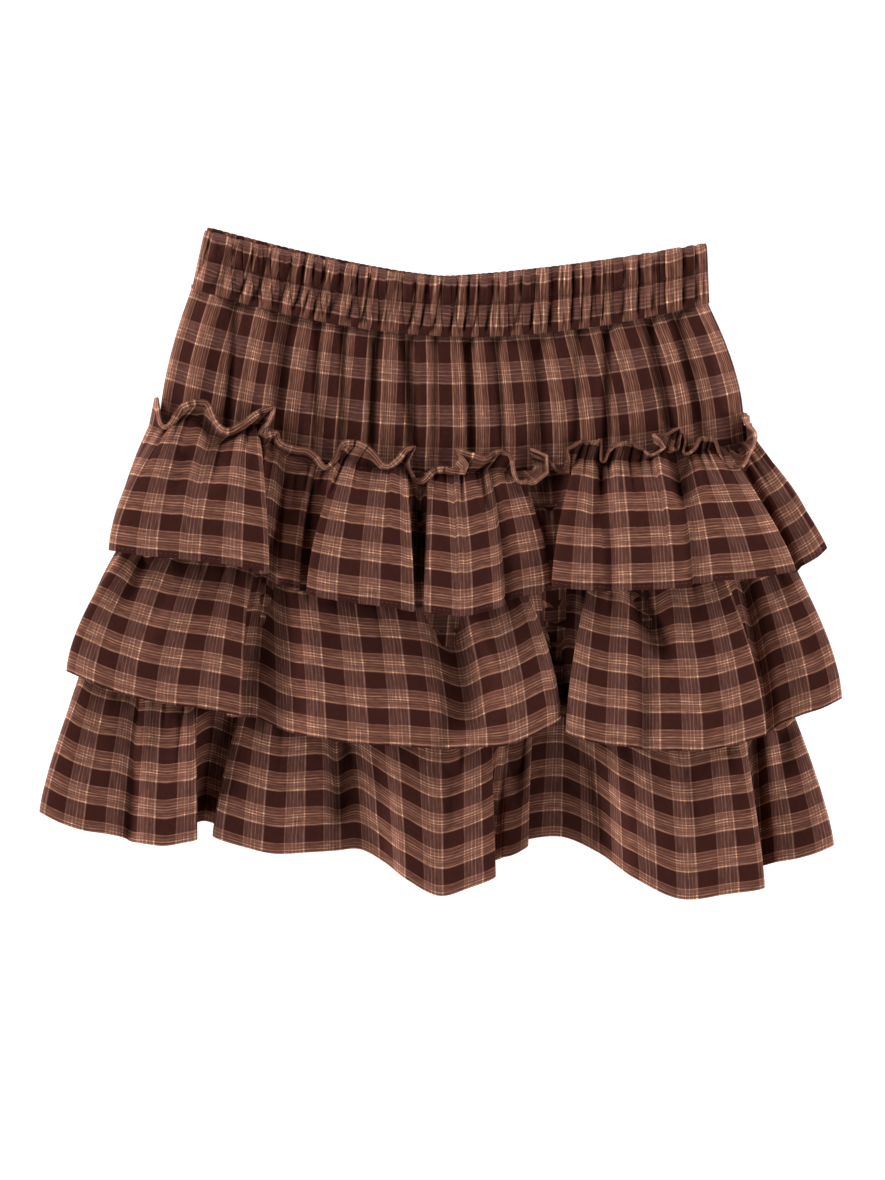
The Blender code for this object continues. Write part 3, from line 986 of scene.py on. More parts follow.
@dataclass(frozen=True)
class Thread:
    """Sewing thread, twisted, in a matt brown."""

    name: str
    colour: Colour = (0.10, 0.045, 0.032)
    lit: Colour = (0.17, 0.085, 0.062)

    def make(self) -> bpy.types.Material:
        """The finish, on Object coordinates.

        Returns:
            The material.
        """
        graph = Graph(self.name)
        twist = graph.grain(2500.0)
        colour = graph.colour("MIX", twist, (*self.colour, 1.0), (*self.lit, 1.0))
        normal = graph.raised(0.4, 0.0001, twist)
        return graph.finish({"Base Color": colour, "Roughness": 0.7, "Normal": normal})


@dataclass(frozen=True)
class Board:
    """The plain white board that the skirt lies on."""

    name: str = "white_board"
    colour: Colour = (0.35, 0.35, 0.35)
    glow: float = 0.93  # it is lit from below, as a light table is

    def make(self) -> bpy.types.Material:
        """The finish, the same all over but for a faint grain.

        Returns:
            The material.
        """
        graph = Graph(self.name)
        return graph.finish(
            {
                "Base Color": (*self.colour, 1.0),
                "Roughness": 0.9,
                "Emission Color": (1.0, 1.0, 1.0, 1.0),
                "Emission Strength": self.glow,
                "Normal": graph.raised(0.05, 0.0001, graph.grain(400.0)),
            }
        )


def linked(
    name: str, made: bmesh.types.BMesh, material: bpy.types.Material
) -> bpy.types.Object:
    """Puts what a bmesh has made into the scene.

    Args:
        name: The new object's name.
        made: The bmesh, which is used up.
        material: The object's one finish.

    Returns:
        The object, shaded smooth.
    """
    mesh = bpy.data.meshes.new(name)
    made.to_mesh(mesh)
    made.free()
    mesh.shade_smooth()
    mesh.materials.append(material)
    piece = bpy.data.objects.new(name, mesh)
    bpy.context.scene.collection.objects.link(piece)
    return piece


WEAVE_SMOOTH = 9  # columns over which the weave's rise is evened out
HEM_REPEATS = 6  # strong repeats up to the heading's turned hem, so that all of it is one band
HEM_YARN = 4.2


@dataclass
class Panel:
    """One piece of cloth: a grid laid over its form, with its wall and its weave's own map.

    across and down hold the u and v of the grid's lines, where v is 1 at the hem. width is the
    cloth's length along its hem where it isn't measured there, and phase is where the plaid's
    weak and strong repeats start, in mm.
    """

    name: str
    node: str
    slot: str
    place: Place
    across: Array
    down: Array
    way: Way = Way.ACROSS
    width: float = 0.0
    gauge: float = 0.2  # v of the row along which a known width is shared out
    phase: tuple[float, float] = (0.0, 0.0)
    wall: float = 0.9
    offset: float = 0.0
    band: float = 0.0  # v above which the cloth is the heading's turned hem
    points: Array = field(init=False)

    def __post_init__(self) -> None:
        """Lays the grid's corners over the form."""
        u, v = np.meshgrid(self.across, self.down)
        self.points = self.place(u.ravel(), v.ravel()).reshape(*u.shape, 3)

    def weave(self) -> Array:
        """Where each corner lies in the flat cloth, in mm: along the hem, and up from it.

        Returns:
            The grid's corners on the flat cloth, turned as the plaid runs.
        """
        along = walked(self.points[-1])
        if self.width:
            along = walked(self.points[int(np.argmin(np.abs(self.down - self.gauge)))])
            along = along * self.width / along[-1]
        up = walked(self.points[::-1])[::-1]
        kernel = np.hanning(WEAVE_SMOOTH) / np.hanning(WEAVE_SMOOTH).sum()
        beside = WEAVE_SMOOTH // 2
        padded = np.pad(up, ((0, 0), (beside, beside)), mode="edge")
        up = np.stack([np.convolve(row, kernel, "valid") for row in padded])
        if self.band:
            turned = self.down < self.band
            depth = (self.down - self.band) / (self.down[0] - self.band) * HEADING * (1 - HEMMED)
            start = HEM_REPEATS * STRONG.length - self.phase[1] + HEM_YARN
            up = np.where(turned[:, None], start + depth[:, None], up)
        along = np.broadcast_to(along, up.shape)
        if self.way is Way.DOWN:
            flat = (-up, along)
        else:
            flat = (along, up)
        return np.stack([flat[0] + self.phase[0], flat[1] + self.phase[1]], axis=-1)

    def build(self, material: bpy.types.Material) -> bpy.types.Object:
        """Makes the piece.

        Args:
            material: Its finish.

        Returns:
            The piece, riding on the skirt's body in place of its solid.
        """
        rows, columns = (count - 1 for count in self.points.shape[:2])
        sheet = bmesh.new()
        bmesh.ops.create_grid(sheet, x_segments=columns, y_segments=rows, size=0.5)
        corners = np.array([vertex.co[:2] for vertex in sheet.verts])
        column_at = np.rint((corners[:, 0] + 0.5) * columns).astype(int)
        row_at = np.rint((0.5 - corners[:, 1]) * rows).astype(int)
        for vertex, point in zip(sheet.verts, self.points[row_at, column_at] * MM):
            vertex.co = point
        piece = linked(self.name, sheet, material)
        mesh = piece.data
        corner_at = np.empty(len(mesh.loops), int)
        mesh.loops.foreach_get("vertex_index", corner_at)
        flat = self.weave()[row_at, column_at][corner_at] * MM
        mesh.uv_layers.new(name="weave").data.foreach_set("uv", flat.astype(np.float32).ravel())
        wall = piece.modifiers.new("wall", "SOLIDIFY")
        wall.thickness = self.wall * MM
        wall.offset = self.offset
        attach(piece, "root")
        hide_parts(self.node)
        LOG.info("%s: %d faces", self.name, len(mesh.polygons))
        return piece


@dataclass
class Seam:
    """A line of stitches along a panel at one v, on its upper or lower face."""

    name: str
    panel: Panel
    v: float
    up: bool = True
    stitch: float = 2.3
    gap: float = 0.7
    thread: float = 0.36
    sunk: float = 0.03

    def build(self, material: bpy.types.Material) -> bpy.types.Object:
        """Makes the stitches.

        Args:
            material: Their finish.

        Returns:
            The stitches, joined in one piece.
        """
        u = np.linspace(0.002, 0.998, 6 * self.panel.points.shape[1])
        line = self.panel.place(u, np.full_like(u, self.v))
        below = self.panel.place(u, np.full_like(u, self.v + STITCH_V))
        along = walked(line)
        at = np.arange(self.stitch, along[-1] - self.stitch, self.stitch + self.gap)
        middle, ahead, behind, lower = (
            np.stack([np.interp(where, along, line_of[:, i]) for i in range(3)], axis=-1)
            for where, line_of in (
                (at, line),
                (at + self.stitch / 2, line),
                (at - self.stitch / 2, line),
                (at, below),
            )
        )
        face = 1.0 if self.up else -1.0
        height = face * (self.panel.wall / 2 - self.sunk)
        if self.panel.offset:
            height = self.panel.wall if self.up else self.sunk
        stitches = bmesh.new()
        for point, end, start, under in zip(middle, ahead, behind, lower):
            run = Vector(end - start).normalized()
            out = run.cross(Vector(under - point)).normalized() * -1
            side = out.cross(run)
            centre = Vector(point) + out * height
            sizes = (self.thread, self.thread, self.stitch)
            axes = [axis * size * 0.5 * MM for axis, size in zip((side, out, run), sizes)]
            turn = Matrix(axes).transposed().to_4x4()
            turn.translation = centre * MM
            bmesh.ops.create_uvsphere(stitches, u_segments=6, v_segments=4, radius=1, matrix=turn)
        piece = linked(self.name, stitches, material)
        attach(piece, "root")
        LOG.info("%s: %d stitches", self.name, len(at))
        return piece


def spaced(stretches: Sequence[tuple[float, float, int]]) -> Array:
    """Grid lines over stretches that follow each other, each with its own number of steps."""
    lines = [np.linspace(start, end, count, endpoint=False) for start, end, count in stretches]
    return np.concatenate([*lines, [stretches[-1][1]]])


class Ground:
    """The highest cloth laid so far, on a plan grid, for the next piece to lie on."""

    def __init__(self, cell: float = 2.5, reach: float = 300.0) -> None:
        """Starts with bare board.

        Args:
            cell: Side of a cell of the grid.
            reach: Half the side of the grid.
        """
        self.cell = cell
        self.reach = reach
        count = int(2 * reach / cell) + 1
        self.heights = np.zeros((count, count))
        self.spread = self.heights

    def add(self, points: Array) -> None:
        """Lays a piece's corners, and spreads each cell's height softly to those around it.

        Args:
            points: The corners.
        """
        spots = np.rint((points[..., :2] + self.reach) / self.cell).astype(int).reshape(-1, 2)
        np.maximum.at(self.heights, tuple(spots.T), points[..., 2].ravel())
        wide = self.heights
        for axis in (0, 1):
            beside = np.maximum(np.roll(wide, 1, axis), np.roll(wide, -1, axis))
            wide = np.maximum(wide, beside)
        for axis in (0, 1, 0, 1):
            beside = np.roll(wide, 1, axis) + np.roll(wide, -1, axis)
            wide = np.maximum(self.heights, mix(wide, beside / 2, 0.5))
        self.spread = wide

    def height(self, points: Array) -> Array:
        """The height of what lies under points.

        Args:
            points: Where it is read.

        Returns:
            The height under each.
        """
        spots = (points[..., :2] + self.reach) / self.cell
        corner = np.floor(spots).astype(int)
        i, j = corner[..., 0], corner[..., 1]
        share_x, share_y = np.moveaxis(spots - corner, -1, 0)
        near = mix(self.spread[i, j], self.spread[i + 1, j], share_x)
        far = mix(self.spread[i, j + 1], self.spread[i + 1, j + 1], share_x)
        return mix(near, far, share_y)


@dataclass
class Ruffle:
    """One tier: its seam, the folds and creases of its front, and how its back lies."""

    name: str
    seam: Edge
    seat: float
    swell: float
    spread: float
    folds: tuple[Fold, ...]
    back_hem: Edge
    back_flutes: int
    creases: tuple[Crease, ...]
    puckers: Puckers
    back_puckers: Puckers
    phase: tuple[float, float]
    drop: float
    right_spread: float = 0.0  # pace at which its right side spreads, where it isn't the left's
    headed: bool = False
    per_turn: int = 11  # columns of the front's grid from turn to turn
    per_flute: int = 24
    back_rows: int = 40
    hem_turn: float = 3.2  # mm from the hem's edge to its stitches
    ground: Ground = field(default_factory=Ground)

    def fold_turns(
        self, fold: Fold, low: float, low_y: float, next_low: float, next_low_y: float
    ) -> list[tuple[float, ...]]:
        """The turns of one fold at the hem.

        Args:
            fold: The fold.
            low: Height of the trough before it.
            low_y: The hem's y there.
            next_low: Height of the trough after it.
            next_low_y: The hem's y there.

        Returns:
            Rows of x, y, z and seam x at each turn, from left to right.
        """
        width = fold.right - fold.left
        gathered = fold.seam_right - fold.seam_left
        gain = CREST_GAIN * min(1.0, width / 40)

        def edge_turns(
            edge: float,
            hem: float,
            tuck: float,
            base: float,
            base_y: float,
            inward: int,
            seam: float,
        ) -> list[tuple[float, ...]]:
            """The turns at one edge of the fold, from the trough inwards.

            Args:
                edge: The edge's x.
                hem: The hem's y there.
                tuck: How far the cloth turns back under it.
                base: Height of the trough beside it.
                base_y: The hem's y in that trough.
                inward: 1 at the left edge and -1 at the right.
                seam: The edge's x on the seam.

            Returns:
                Rows as fold_turns gives them.
            """
            rise = fold.height - base
            turns = [(edge, hem, base + FOOT_RISE * rise, seam)]
            shoulder_rise = SHOULDER_RISE * rise
            if tuck:
                lip_seam = seam + inward * LIP_WIDTH * gathered
                root = (edge + inward * tuck, mix(hem, base_y, 0.5), base + ROOT_RISE * rise, seam)
                turns = [root, (edge, hem, base + CRISP_EDGE * rise + gain, lip_seam)]
                shoulder_rise = CRISP_SHOULDER * rise
            shoulder = (
                edge + inward * SHOULDER_WIDTH * width,
                mix(hem, fold.hem_crest, SHOULDER_DROP),
                base + shoulder_rise + gain,
                seam + inward * SHOULDER_WIDTH * gathered,
            )
            return turns + [shoulder]

        left = edge_turns(fold.left, fold.hem_left, fold.tuck_left, low, low_y, 1, fold.seam_left)
        right = edge_turns(
            fold.right, fold.hem_right, fold.tuck_right, next_low, next_low_y, -1, fold.seam_right
        )
        crest = (
            mix(fold.left, fold.right, 0.5),
            fold.hem_crest,
            fold.height + gain,
            mix(fold.seam_left, fold.seam_right, 0.5),
        )
        return left + [crest] + right[::-1]

    def hem_turns(self) -> Array:
        """Rows as fold_turns gives them, at each turn of the hem from side to side.

        Returns:
            The rows.
        """
        first = self.folds[0]
        start = first.left + SIDE_INSET
        turns = [(start, first.hem_left, SIDE_HEIGHT, self.seam.left)]
        low = SIDE_HEIGHT
        low_y = first.hem_left
        for fold, after in zip(self.folds, self.folds[1:] + (None,)):
            next_low = fold.trough if after else SIDE_HEIGHT
            rows = self.fold_turns(fold, low, low_y, next_low, fold.hem_trough)
            if len(turns) == 1:
                rows = rows[1:]
            if after is None:
                rows = rows[:-1]
            turns += rows
            if after:
                middle_x = mix(rows[-1][0], after.left + after.tuck_left, 0.5)
                middle = mix(fold.seam_right, after.seam_left, 0.5)
                turns.append((middle_x, fold.hem_trough, next_low, middle))
            low = next_low
            low_y = fold.hem_trough
        last = self.folds[-1]
        end = last.right - SIDE_INSET
        turns.append((end, last.hem_right, SIDE_HEIGHT, self.seam.right))
        return np.array(turns)

    def above(self, seam_x: Array) -> Array:
        """How far the heading's edge shows above the seam, over the seam's x."""
        return curve(FRILL, "seam", "y", seam_x) - self.seam.y_at(seam_x)

    def lean(self, seam_x: Array) -> Array:
        """How far the heading leans to the waist over the seam's x, from 0 to 1."""
        return np.clip(self.above(seam_x) / (LEAN_FULL * HEADING), 0, 1)

    def bulge(self, seam_x: Array) -> Array:
        """How far the gathers push the heading's stitching up to the waist.

        Args:
            seam_x: The seam's x at which it is read.

        Returns:
            The push at each.
        """
        pushed = np.maximum(self.above(seam_x) - HEADING - 1, 0)
        side = np.minimum(seam_x - self.seam.left, self.seam.right - seam_x)
        return pushed * rounded(side, SEAM_ROUND)

    def back_lift(self, down: Array) -> Array:
        """How high the back lies where its top is on the ruffle above it.

        Args:
            down: How far down the back, from 0 to 1.

        Returns:
            The lift at each.
        """
        if self.headed:
            return 0 * down
        return LAYER * (1 - np.clip((down - UNDER) / UNDER_DROP, 0, 1))

    def front(self, u: Array, v: Array) -> Array:
        """Points of the front: u from side to side by its turns, v from the seam to the hem.

        Args:
            u: The fraction of the way across, by turns.
            v: The fraction of the way down, below 0 on the heading.

        Returns:
            The points.
        """
        turns = self.hem_turns()
        steps = np.linalg.norm(np.diff(turns[:, :3], axis=0), axis=1)
        knots = np.concatenate([[0], np.cumsum(np.sqrt(steps))])
        at = np.interp(u * (len(turns) - 1), np.arange(len(turns)), knots)
        hem_x, hem_y = (smooth_through(knots, turns[:, i], at) for i in range(2))
        hem_z = smooth_through(knots, turns[:, 2], at, held=True)
        seam_x = smooth_through(knots, turns[:, 3], at, held=True)
        side = rounded(np.minimum(seam_x - self.seam.left, self.seam.right - seam_x), SEAM_ROUND)
        seam_y = self.seam.y_at(seam_x)
        seam_z = mix(SIDE_HEIGHT, self.seat, side)
        if self.headed:
            seam_y = seam_y + self.bulge(seam_x)
        down = np.clip(v, 0, 1)
        across = (seam_x - self.seam.left) / (self.seam.right - self.seam.left)
        right_pace = self.right_spread or self.spread
        pace = mix(self.spread, right_pace, eased((across - RIGHT_FROM) / RIGHT_REACH))
        x = mix(seam_x, hem_x, 1 - (1 - down) ** pace)
        y = mix(seam_y, hem_y, down)
        z = mix(seam_z, hem_z, 1 - (1 - down) ** self.swell)
        low = SIDE_HEIGHT + self.back_lift(down - UNDER_SPARE)
        if self.headed:
            z = z + RIPPLE * side * self.lean(seam_x) * eased(1 - down / RIPPLE_REACH)
            z = z - STITCH_DIP * side * self.lean(seam_x) * bump(down, STITCH_DIP_REACH)
        z = z + side * self.puckers.rise_at(seam_x, down)
        edge = np.clip((z - low) / CREASE_ROOM, 0, 1)
        for crease in self.creases:
            z = z + edge * crease.height(x, y)
        rest = self.ground.height(laid(x, y, z)) + CLEAR
        z = np.maximum(z, mix(z, rest, side))
        from_hem = (1 - down) * self.drop
        roll = HEM_ROLL * bump(from_hem, HEM_ROLL_WIDTH)
        z = z + edge * (roll - HEM_DIP * bump(from_hem - self.hem_turn, HEM_DIP_WIDTH))
        z = np.maximum(z, low)
        if not self.headed:
            return laid(x, y, z)
        return self.frill(x, y, z, seam_x, np.clip(v / HEADING_TOP, 0, 1))

    def frill(self, x: Array, y: Array, z: Array, seam_x: Array, up: Array) -> Array:
        """Points of the heading: a leaf that rises from the stitching, and its turned hem.

        Args:
            x: Sighted x of each point's foot on the stitching.
            y: Its sighted y.
            z: Its height.
            seam_x: The seam's x over which it stands.
            up: How far up the heading it is, from 0 to 1.

        Returns:
            The points.
        """

        def edge(at: Array) -> tuple[Array, Array]:
            """Sighted x and y of the heading's edge over the seam's x."""
            return curve(FRILL, "seam", "x", at), curve(FRILL, "seam", "y", at)

        top_x, top_y = edge(seam_x)
        ahead = edge(np.minimum(seam_x + EDGE_STEP, FRILL[-1].seam))
        behind = edge(np.maximum(seam_x - EDGE_STEP, FRILL[0].seam))
        run_x, run_y = (after - before for after, before in zip(ahead, behind))
        length = np.maximum(np.hypot(run_x, run_y), 1e-6)
        out_x, out_y = run_y / length, -run_x / length
        band = np.clip(curve(FRILL, "seam", "band", seam_x, True), BAND_LEAST, BAND_MOST)
        tall = (1 - HEMMED) * HEADING
        fall = np.sqrt(np.maximum(tall**2 - band**2, 0.04))
        rise = curve(FRILL, "seam", "rise", seam_x, True)
        top = (top_x, top_y, z + rise)
        foot = (top_x + out_x * band, top_y + out_y * band, z + rise - fall)
        low = (mix(x, foot[0], LEAF_REACH), mix(y, foot[1], LEAF_REACH), z + LEAF_RISE * rise)
        share = np.clip(up / HEMMED, 0, 1)
        leaf = (bent(*line, share) for line in zip((x, y, z), low, foot))
        on_band = np.clip((up - HEMMED) / (1 - HEMMED), 0, 1)
        thick = HEM_THICK * eased((up - HEM_START) / HEM_STEP)
        out = (out_x * thick * fall / tall, out_y * thick * fall / tall, thick * band / tall)
        hem = (mix(*line, on_band) + outward for *line, outward in zip(foot, top, out))
        return laid(*(np.where(up > HEMMED, a, b) for a, b in zip(hem, leaf)))

    def back(self, u: Array, v: Array) -> Array:
        """Points of the back from below: flat pads with flutes between them.

        Args:
            u: The fraction of the way across.
            v: The fraction of the way down, below 0 on the heading.

        Returns:
            The points.
        """
        inset = mix(BACK_INSET, 1 - BACK_INSET, u)
        seam_x = mix(self.seam.left, self.seam.right, inset)
        hem_x = mix(self.back_hem.left, self.back_hem.right, u)
        down = np.clip(v, 0, 1)
        up = np.clip(v / HEADING_TOP, 0, 1)
        x = mix(seam_x, hem_x, 1 - (1 - down) ** self.spread)
        y = mix(self.seam.y_at(seam_x), self.back_hem.y_at(hem_x), down) + up * HEADING
        wave = np.cos(2 * np.pi * self.back_flutes * u)
        lift = self.back_lift(down)
        free = np.maximum(down, FRILL_SHARE * up) * (1 - lift / LAYER)
        flute = np.clip((-wave - 0.5) / 0.5, 0, 1) * BACK_RISE * free
        side = rounded(np.minimum(u, 1 - u), 0.02)
        return laid(x, y, flute + lift + side * self.back_puckers.depth_at(seam_x, down))

    def rows(self) -> Array:
        """The v of the front's grid lines, closest at the heading and the hem.

        Returns:
            The lines.
        """
        hem = 1 - HEM_ROWS / self.drop
        if self.headed:
            heading = [(HEADING_TOP, HEMMED * HEADING_TOP, 5), (HEMMED * HEADING_TOP, 0, 8)]
            return spaced([*heading, (0, 0.2, 14), (0.2, hem, 33), (hem, 1, 12)])
        return spaced([(0, 0.4, 12), (0.4, hem, 32), (hem, 1, 12)])

    def build(self, cloth: bpy.types.Material, thread: bpy.types.Material) -> None:
        """Args:
            cloth: The ruffle's finish.
            thread: The stitches' finish.
        """
        top = 0.0
        lines = {"hem": 1 - self.hem_turn / self.drop}
        if self.headed:
            top = HEADING_TOP
            lines["heading"] = STITCH_V
        front = Panel(
            self.name + "_front_cloth",
            self.name + "_front",
            "ruffles",
            self.front,
            steps(self.per_turn * (len(self.hem_turns()) - 1)),
            self.rows(),
            phase=self.phase,
            band=HEMMED * top,
        )
        back = Panel(
            self.name + "_back_cloth",
            self.name + "_back",
            "ruffles",
            self.back,
            steps(self.per_flute * self.back_flutes),
            np.linspace(top, 1, self.back_rows + 1),
            phase=self.phase,
            offset=1.0,
        )
        for panel, up in ((front, True), (back, False)):
            piece = panel.build(cloth)
            sewn = [
                Seam(f"{panel.name}_{line}_stitches", panel, v, up).build(thread)
                for line, v in lines.items()
            ]
            flat = panel.weave()
        self.ground.add(front.points)


@dataclass
class Yoke:
    """The gathered yoke, which runs on under the ruffles as the skirt's body."""

    cut: float = 530.0  # width of the front's cloth at the waist seam
    columns: int = 420
    back_grid: tuple[int, int] = (200, 40)  # steps across and down
    tuck: float = 0.014  # part of its drop that it goes on under the casing
    trough_spread: float = 1.3  # of a gather, in its own widths
    swell_spread: float = 3.0
    swell_start: float = 0.06
    groove: float = 2.6  # depth of the groove at the waist seam
    groove_reach: float = 0.022
    tuck_dip: float = 1.2
    puckers: Puckers = Puckers(11, 5.2, 1.1, 1.6, 0.34, -155, 172)
    back_puckers: Puckers = Puckers(12, 7.0, 0.8, 2.4, 0.3, -155, 172)

    def plan(self, u: Array, v: Array) -> tuple[Array, Array, Array, Array]:
        """Sighted left side, right side, x and y at u across and v down the body.

        Args:
            u: The fraction of the way across.
            v: The fraction of the way down.

        Returns:
            The four of them.
        """
        left = curve(BODY_SIDES, "down", "left", v)
        right = curve(BODY_SIDES, "down", "right", v)
        top_x = mix(BODY_SIDES[0].left, BODY_SIDES[0].right, u)
        hem_x = mix(BODY_SIDES[-1].left, BODY_SIDES[-1].right, u)
        y = mix(WAIST_SEAM.y_at(top_x) - SEAM_STEP, BODY_HEM.y_at(hem_x), v)
        return left, right, mix(left, right, u), y

    def front(self, u: Array, v: Array) -> Array:
        """Points of the front, with its gathers.

        Args:
            u: The fraction of the way across.
            v: The fraction of the way down.

        Returns:
            The points.
        """
        left, right, x, y = self.plan(u, v)
        side = rounded(np.minimum(x - left, right - x), SIDE_ROUND)
        edge = level(BACK_BODY_LEVELS, v) + SIDE_HEIGHT
        z = mix(edge, level(FRONT_BODY_LEVELS, v), side)
        fade = 1 - eased((v - GATHER_FADE) / (GATHER_END - GATHER_FADE))
        for gather in YOKE_GATHERS:
            middle = mix(gather.top, gather.bottom, v / GATHER_END)
            trough = (1 + YOKE_SWELL) * bump(x - middle, self.trough_spread * gather.width)
            swell = YOKE_SWELL * bump(x - middle, self.swell_spread * gather.width)
            swell = swell * eased(v / self.swell_start)
            z = z - gather.depth * side * fade * (trough - swell)
        top_x = mix(BODY_SIDES[0].left, BODY_SIDES[0].right, u)
        z = z - side * self.puckers.depth_at(top_x, v)
        groove = self.groove * (1 - eased(v / self.groove_reach))
        z = z - side * (groove + self.tuck_dip * eased(-v / self.tuck))
        return laid(x, y, np.maximum(z, edge))

    def back(self, u: Array, v: Array) -> Array:
        """Points of the back from below, flat and lifted where the ruffles lie under it.

        Args:
            u: The fraction of the way across.
            v: The fraction of the way down.

        Returns:
            The points.
        """
        _, _, x, y = self.plan(mix(BACK_INSET, 1 - BACK_INSET, u), v)
        top_x = mix(BODY_SIDES[0].left, BODY_SIDES[0].right, u)
        side = rounded(np.minimum(u, 1 - u), 0.03)
        z = level(BACK_BODY_LEVELS, v) + side * self.back_puckers.depth_at(top_x, v)
        return laid(x, y, z)

    def build(self, cloth: bpy.types.Material, ground: Ground) -> None:
        """Args:
            cloth: The yoke's finish.
            ground: Takes the front's form, for the ruffles to lie on.
        """
        front = Panel(
            "yoke_front_cloth",
            "body_front",
            "yoke",
            self.front,
            steps(self.columns),
            spaced([(-self.tuck, 0, 2), (0, 0.45, 42), (0.45, 1, 10)]),
            Way.DOWN,
            self.cut,
            gauge=0.06,
            phase=(9.0, 3.0),
        )
        back = Panel(
            "yoke_back_cloth",
            "body_back",
            "yoke",
            self.back,
            *map(steps, self.back_grid),
            Way.DOWN,
            self.cut,
            gauge=0.06,
            phase=(9.0, 8.0),
            offset=1.0,
        )
        for panel, rest in ((front, "body_back"), (back, "ruffle_2_back")):
            piece = panel.build(cloth)
            flat = panel.weave()[..., 0]
        ground.add(front.points)


@dataclass
class Waistband:
    """The casing: two stuffed channels, pleated by the elastic in them."""

    cut: float = 530.0  # width of each side's cloth with its pleats let out
    grid: tuple[int, int] = (640, 40)  # steps across and down
    back_grid: tuple[int, int] = (840, 20)
    depth: float = 4.3  # of the front's pleats
    flat_from: float = 0.86  # v at which the pleats flatten out to the waist seam
    flat_reach: float = 0.14
    flattened: float = 0.85
    channel_dip: float = 0.9
    channel_dip_reach: float = 0.025
    puckers: Puckers = Puckers(21, 4.0, 2.6, 0.85, 9.0, -146, 170)
    shirrs: int = 84  # fine pleats across the back
    shirr_depth: float = 1.75

    def plan(self, u: Array, v: Array, top: Edge) -> tuple[Array, Array]:
        """Sighted x and y on the casing: u from side to side, v from its top fold to its seam.

        Args:
            u: The fraction of the way across.
            v: The fraction of the way down.
            top: The casing's top fold.

        Returns:
            Its x and y.
        """
        down = np.interp(v, (0, 0.5, 1), (0, STITCHING, 1))
        x = mix(mix(top.left, WAIST_SEAM.left, down), mix(top.right, WAIST_SEAM.right, down), u)
        top_y = top.y_at(mix(top.left, top.right, u))
        seam_y = WAIST_SEAM.y_at(mix(WAIST_SEAM.left, WAIST_SEAM.right, u))
        return x, mix(top_y, seam_y, down)

    def uneven(self, place: Array, u: Array) -> Array:
        """The pleats' running numbers over u, moved by the waves in their spacing.

        Args:
            place: The numbers, as if they were even.
            u: The fraction of the way across.

        Returns:
            The numbers.
        """
        for wander in PLEAT_WANDERS:
            place = place + wander.size * np.sin(wander.pace * u + wander.start)
        return place

    def pleat(self, u: Array, v: Array, lean: Array | float) -> Array:
        """0 on the back of a pleat and 1 in the crease beside it, uneven in width."""
        place = self.uneven(PLEATS * u + lean * np.clip(v - 0.5, 0, 1), u)
        return np.abs(np.cos(np.pi * place)) ** PLEAT_SHARPNESS

    def front(self, u: Array, v: Array) -> Array:
        """Points of the front.

        Args:
            u: The fraction of the way across.
            v: The fraction of the way down.

        Returns:
            The points.
        """
        x, y = self.plan(u, v, WAIST_TOP)
        free = mix(STITCHED_DEPTH, 1, np.sin(2 * np.pi * v) ** 2)
        free = free * (1 - self.flattened * eased((v - self.flat_from) / self.flat_reach))
        crease = self.depth * free * self.pleat(u, v, mix(LEAN_LEFT, LEAN_RIGHT, u))
        crease = crease + free * self.puckers.depth_at(x, np.abs(v - 0.5) * 0.2)
        side = rounded(np.minimum(u, 1 - u) * (WAIST_TOP.right - WAIST_TOP.left), CASING_ROUND)
        low = CASING + BACK_PLEAT_DEPTH + GAP + CASING / 2
        crest = level(CASING_LEVELS, v) - self.channel_dip * bump(v - 0.5, self.channel_dip_reach)
        return laid(x, y, mix(low, np.maximum(crest - crease, low), side))

    def back(self, u: Array, v: Array) -> Array:
        """Points of the back from below, shirred finely by the elastic.

        Args:
            u: The fraction of the way across.
            v: The fraction of the way down.

        Returns:
            The points.
        """
        x, y = self.plan(mix(BACK_INSET, 1 - BACK_INSET, u), v, BACK_WAIST_TOP)
        shirr = np.sin(np.pi * self.uneven(self.shirrs * u, u)) ** 2
        side = rounded(np.minimum(u, 1 - u), 0.02)
        free = mix(STITCHED_DEPTH, 1, np.abs(np.sin(2 * np.pi * v)) ** 0.6)
        return laid(x, y, self.shirr_depth * side * free * shirr)

    def build(self, cloth: bpy.types.Material, thread: bpy.types.Material) -> None:
        """Args:
            cloth: The waistband's finish.
            thread: The stitches' finish.
        """
        front = Panel(
            "waistband_front_cloth",
            "waistband_front",
            "waistband",
            self.front,
            *map(steps, self.grid),
            Way.DOWN,
            self.cut,
            gauge=0.26,
            phase=(19.7, 3.0),
            wall=1.8,
        )
        back = Panel(
            "waistband_back_cloth",
            "waistband_back",
            "waistband",
            self.back,
            *map(steps, self.back_grid),
            Way.DOWN,
            self.cut,
            gauge=0.25,
            phase=(4.0, 8.0),
            wall=1.8,
            offset=1.0,
        )
        for panel, up in ((front, True), (back, False)):
            piece = panel.build(cloth)
            sewn = Seam(panel.name + "_channel_stitches", panel, 0.5, up).build(thread)
            flat = panel.weave()[..., 0]


@dataclass(frozen=True)
class Lamp:
    """Where a lamp stands around the skirt, in degrees, and its power in watts."""

    bearing: float
    lift: float
    power: float


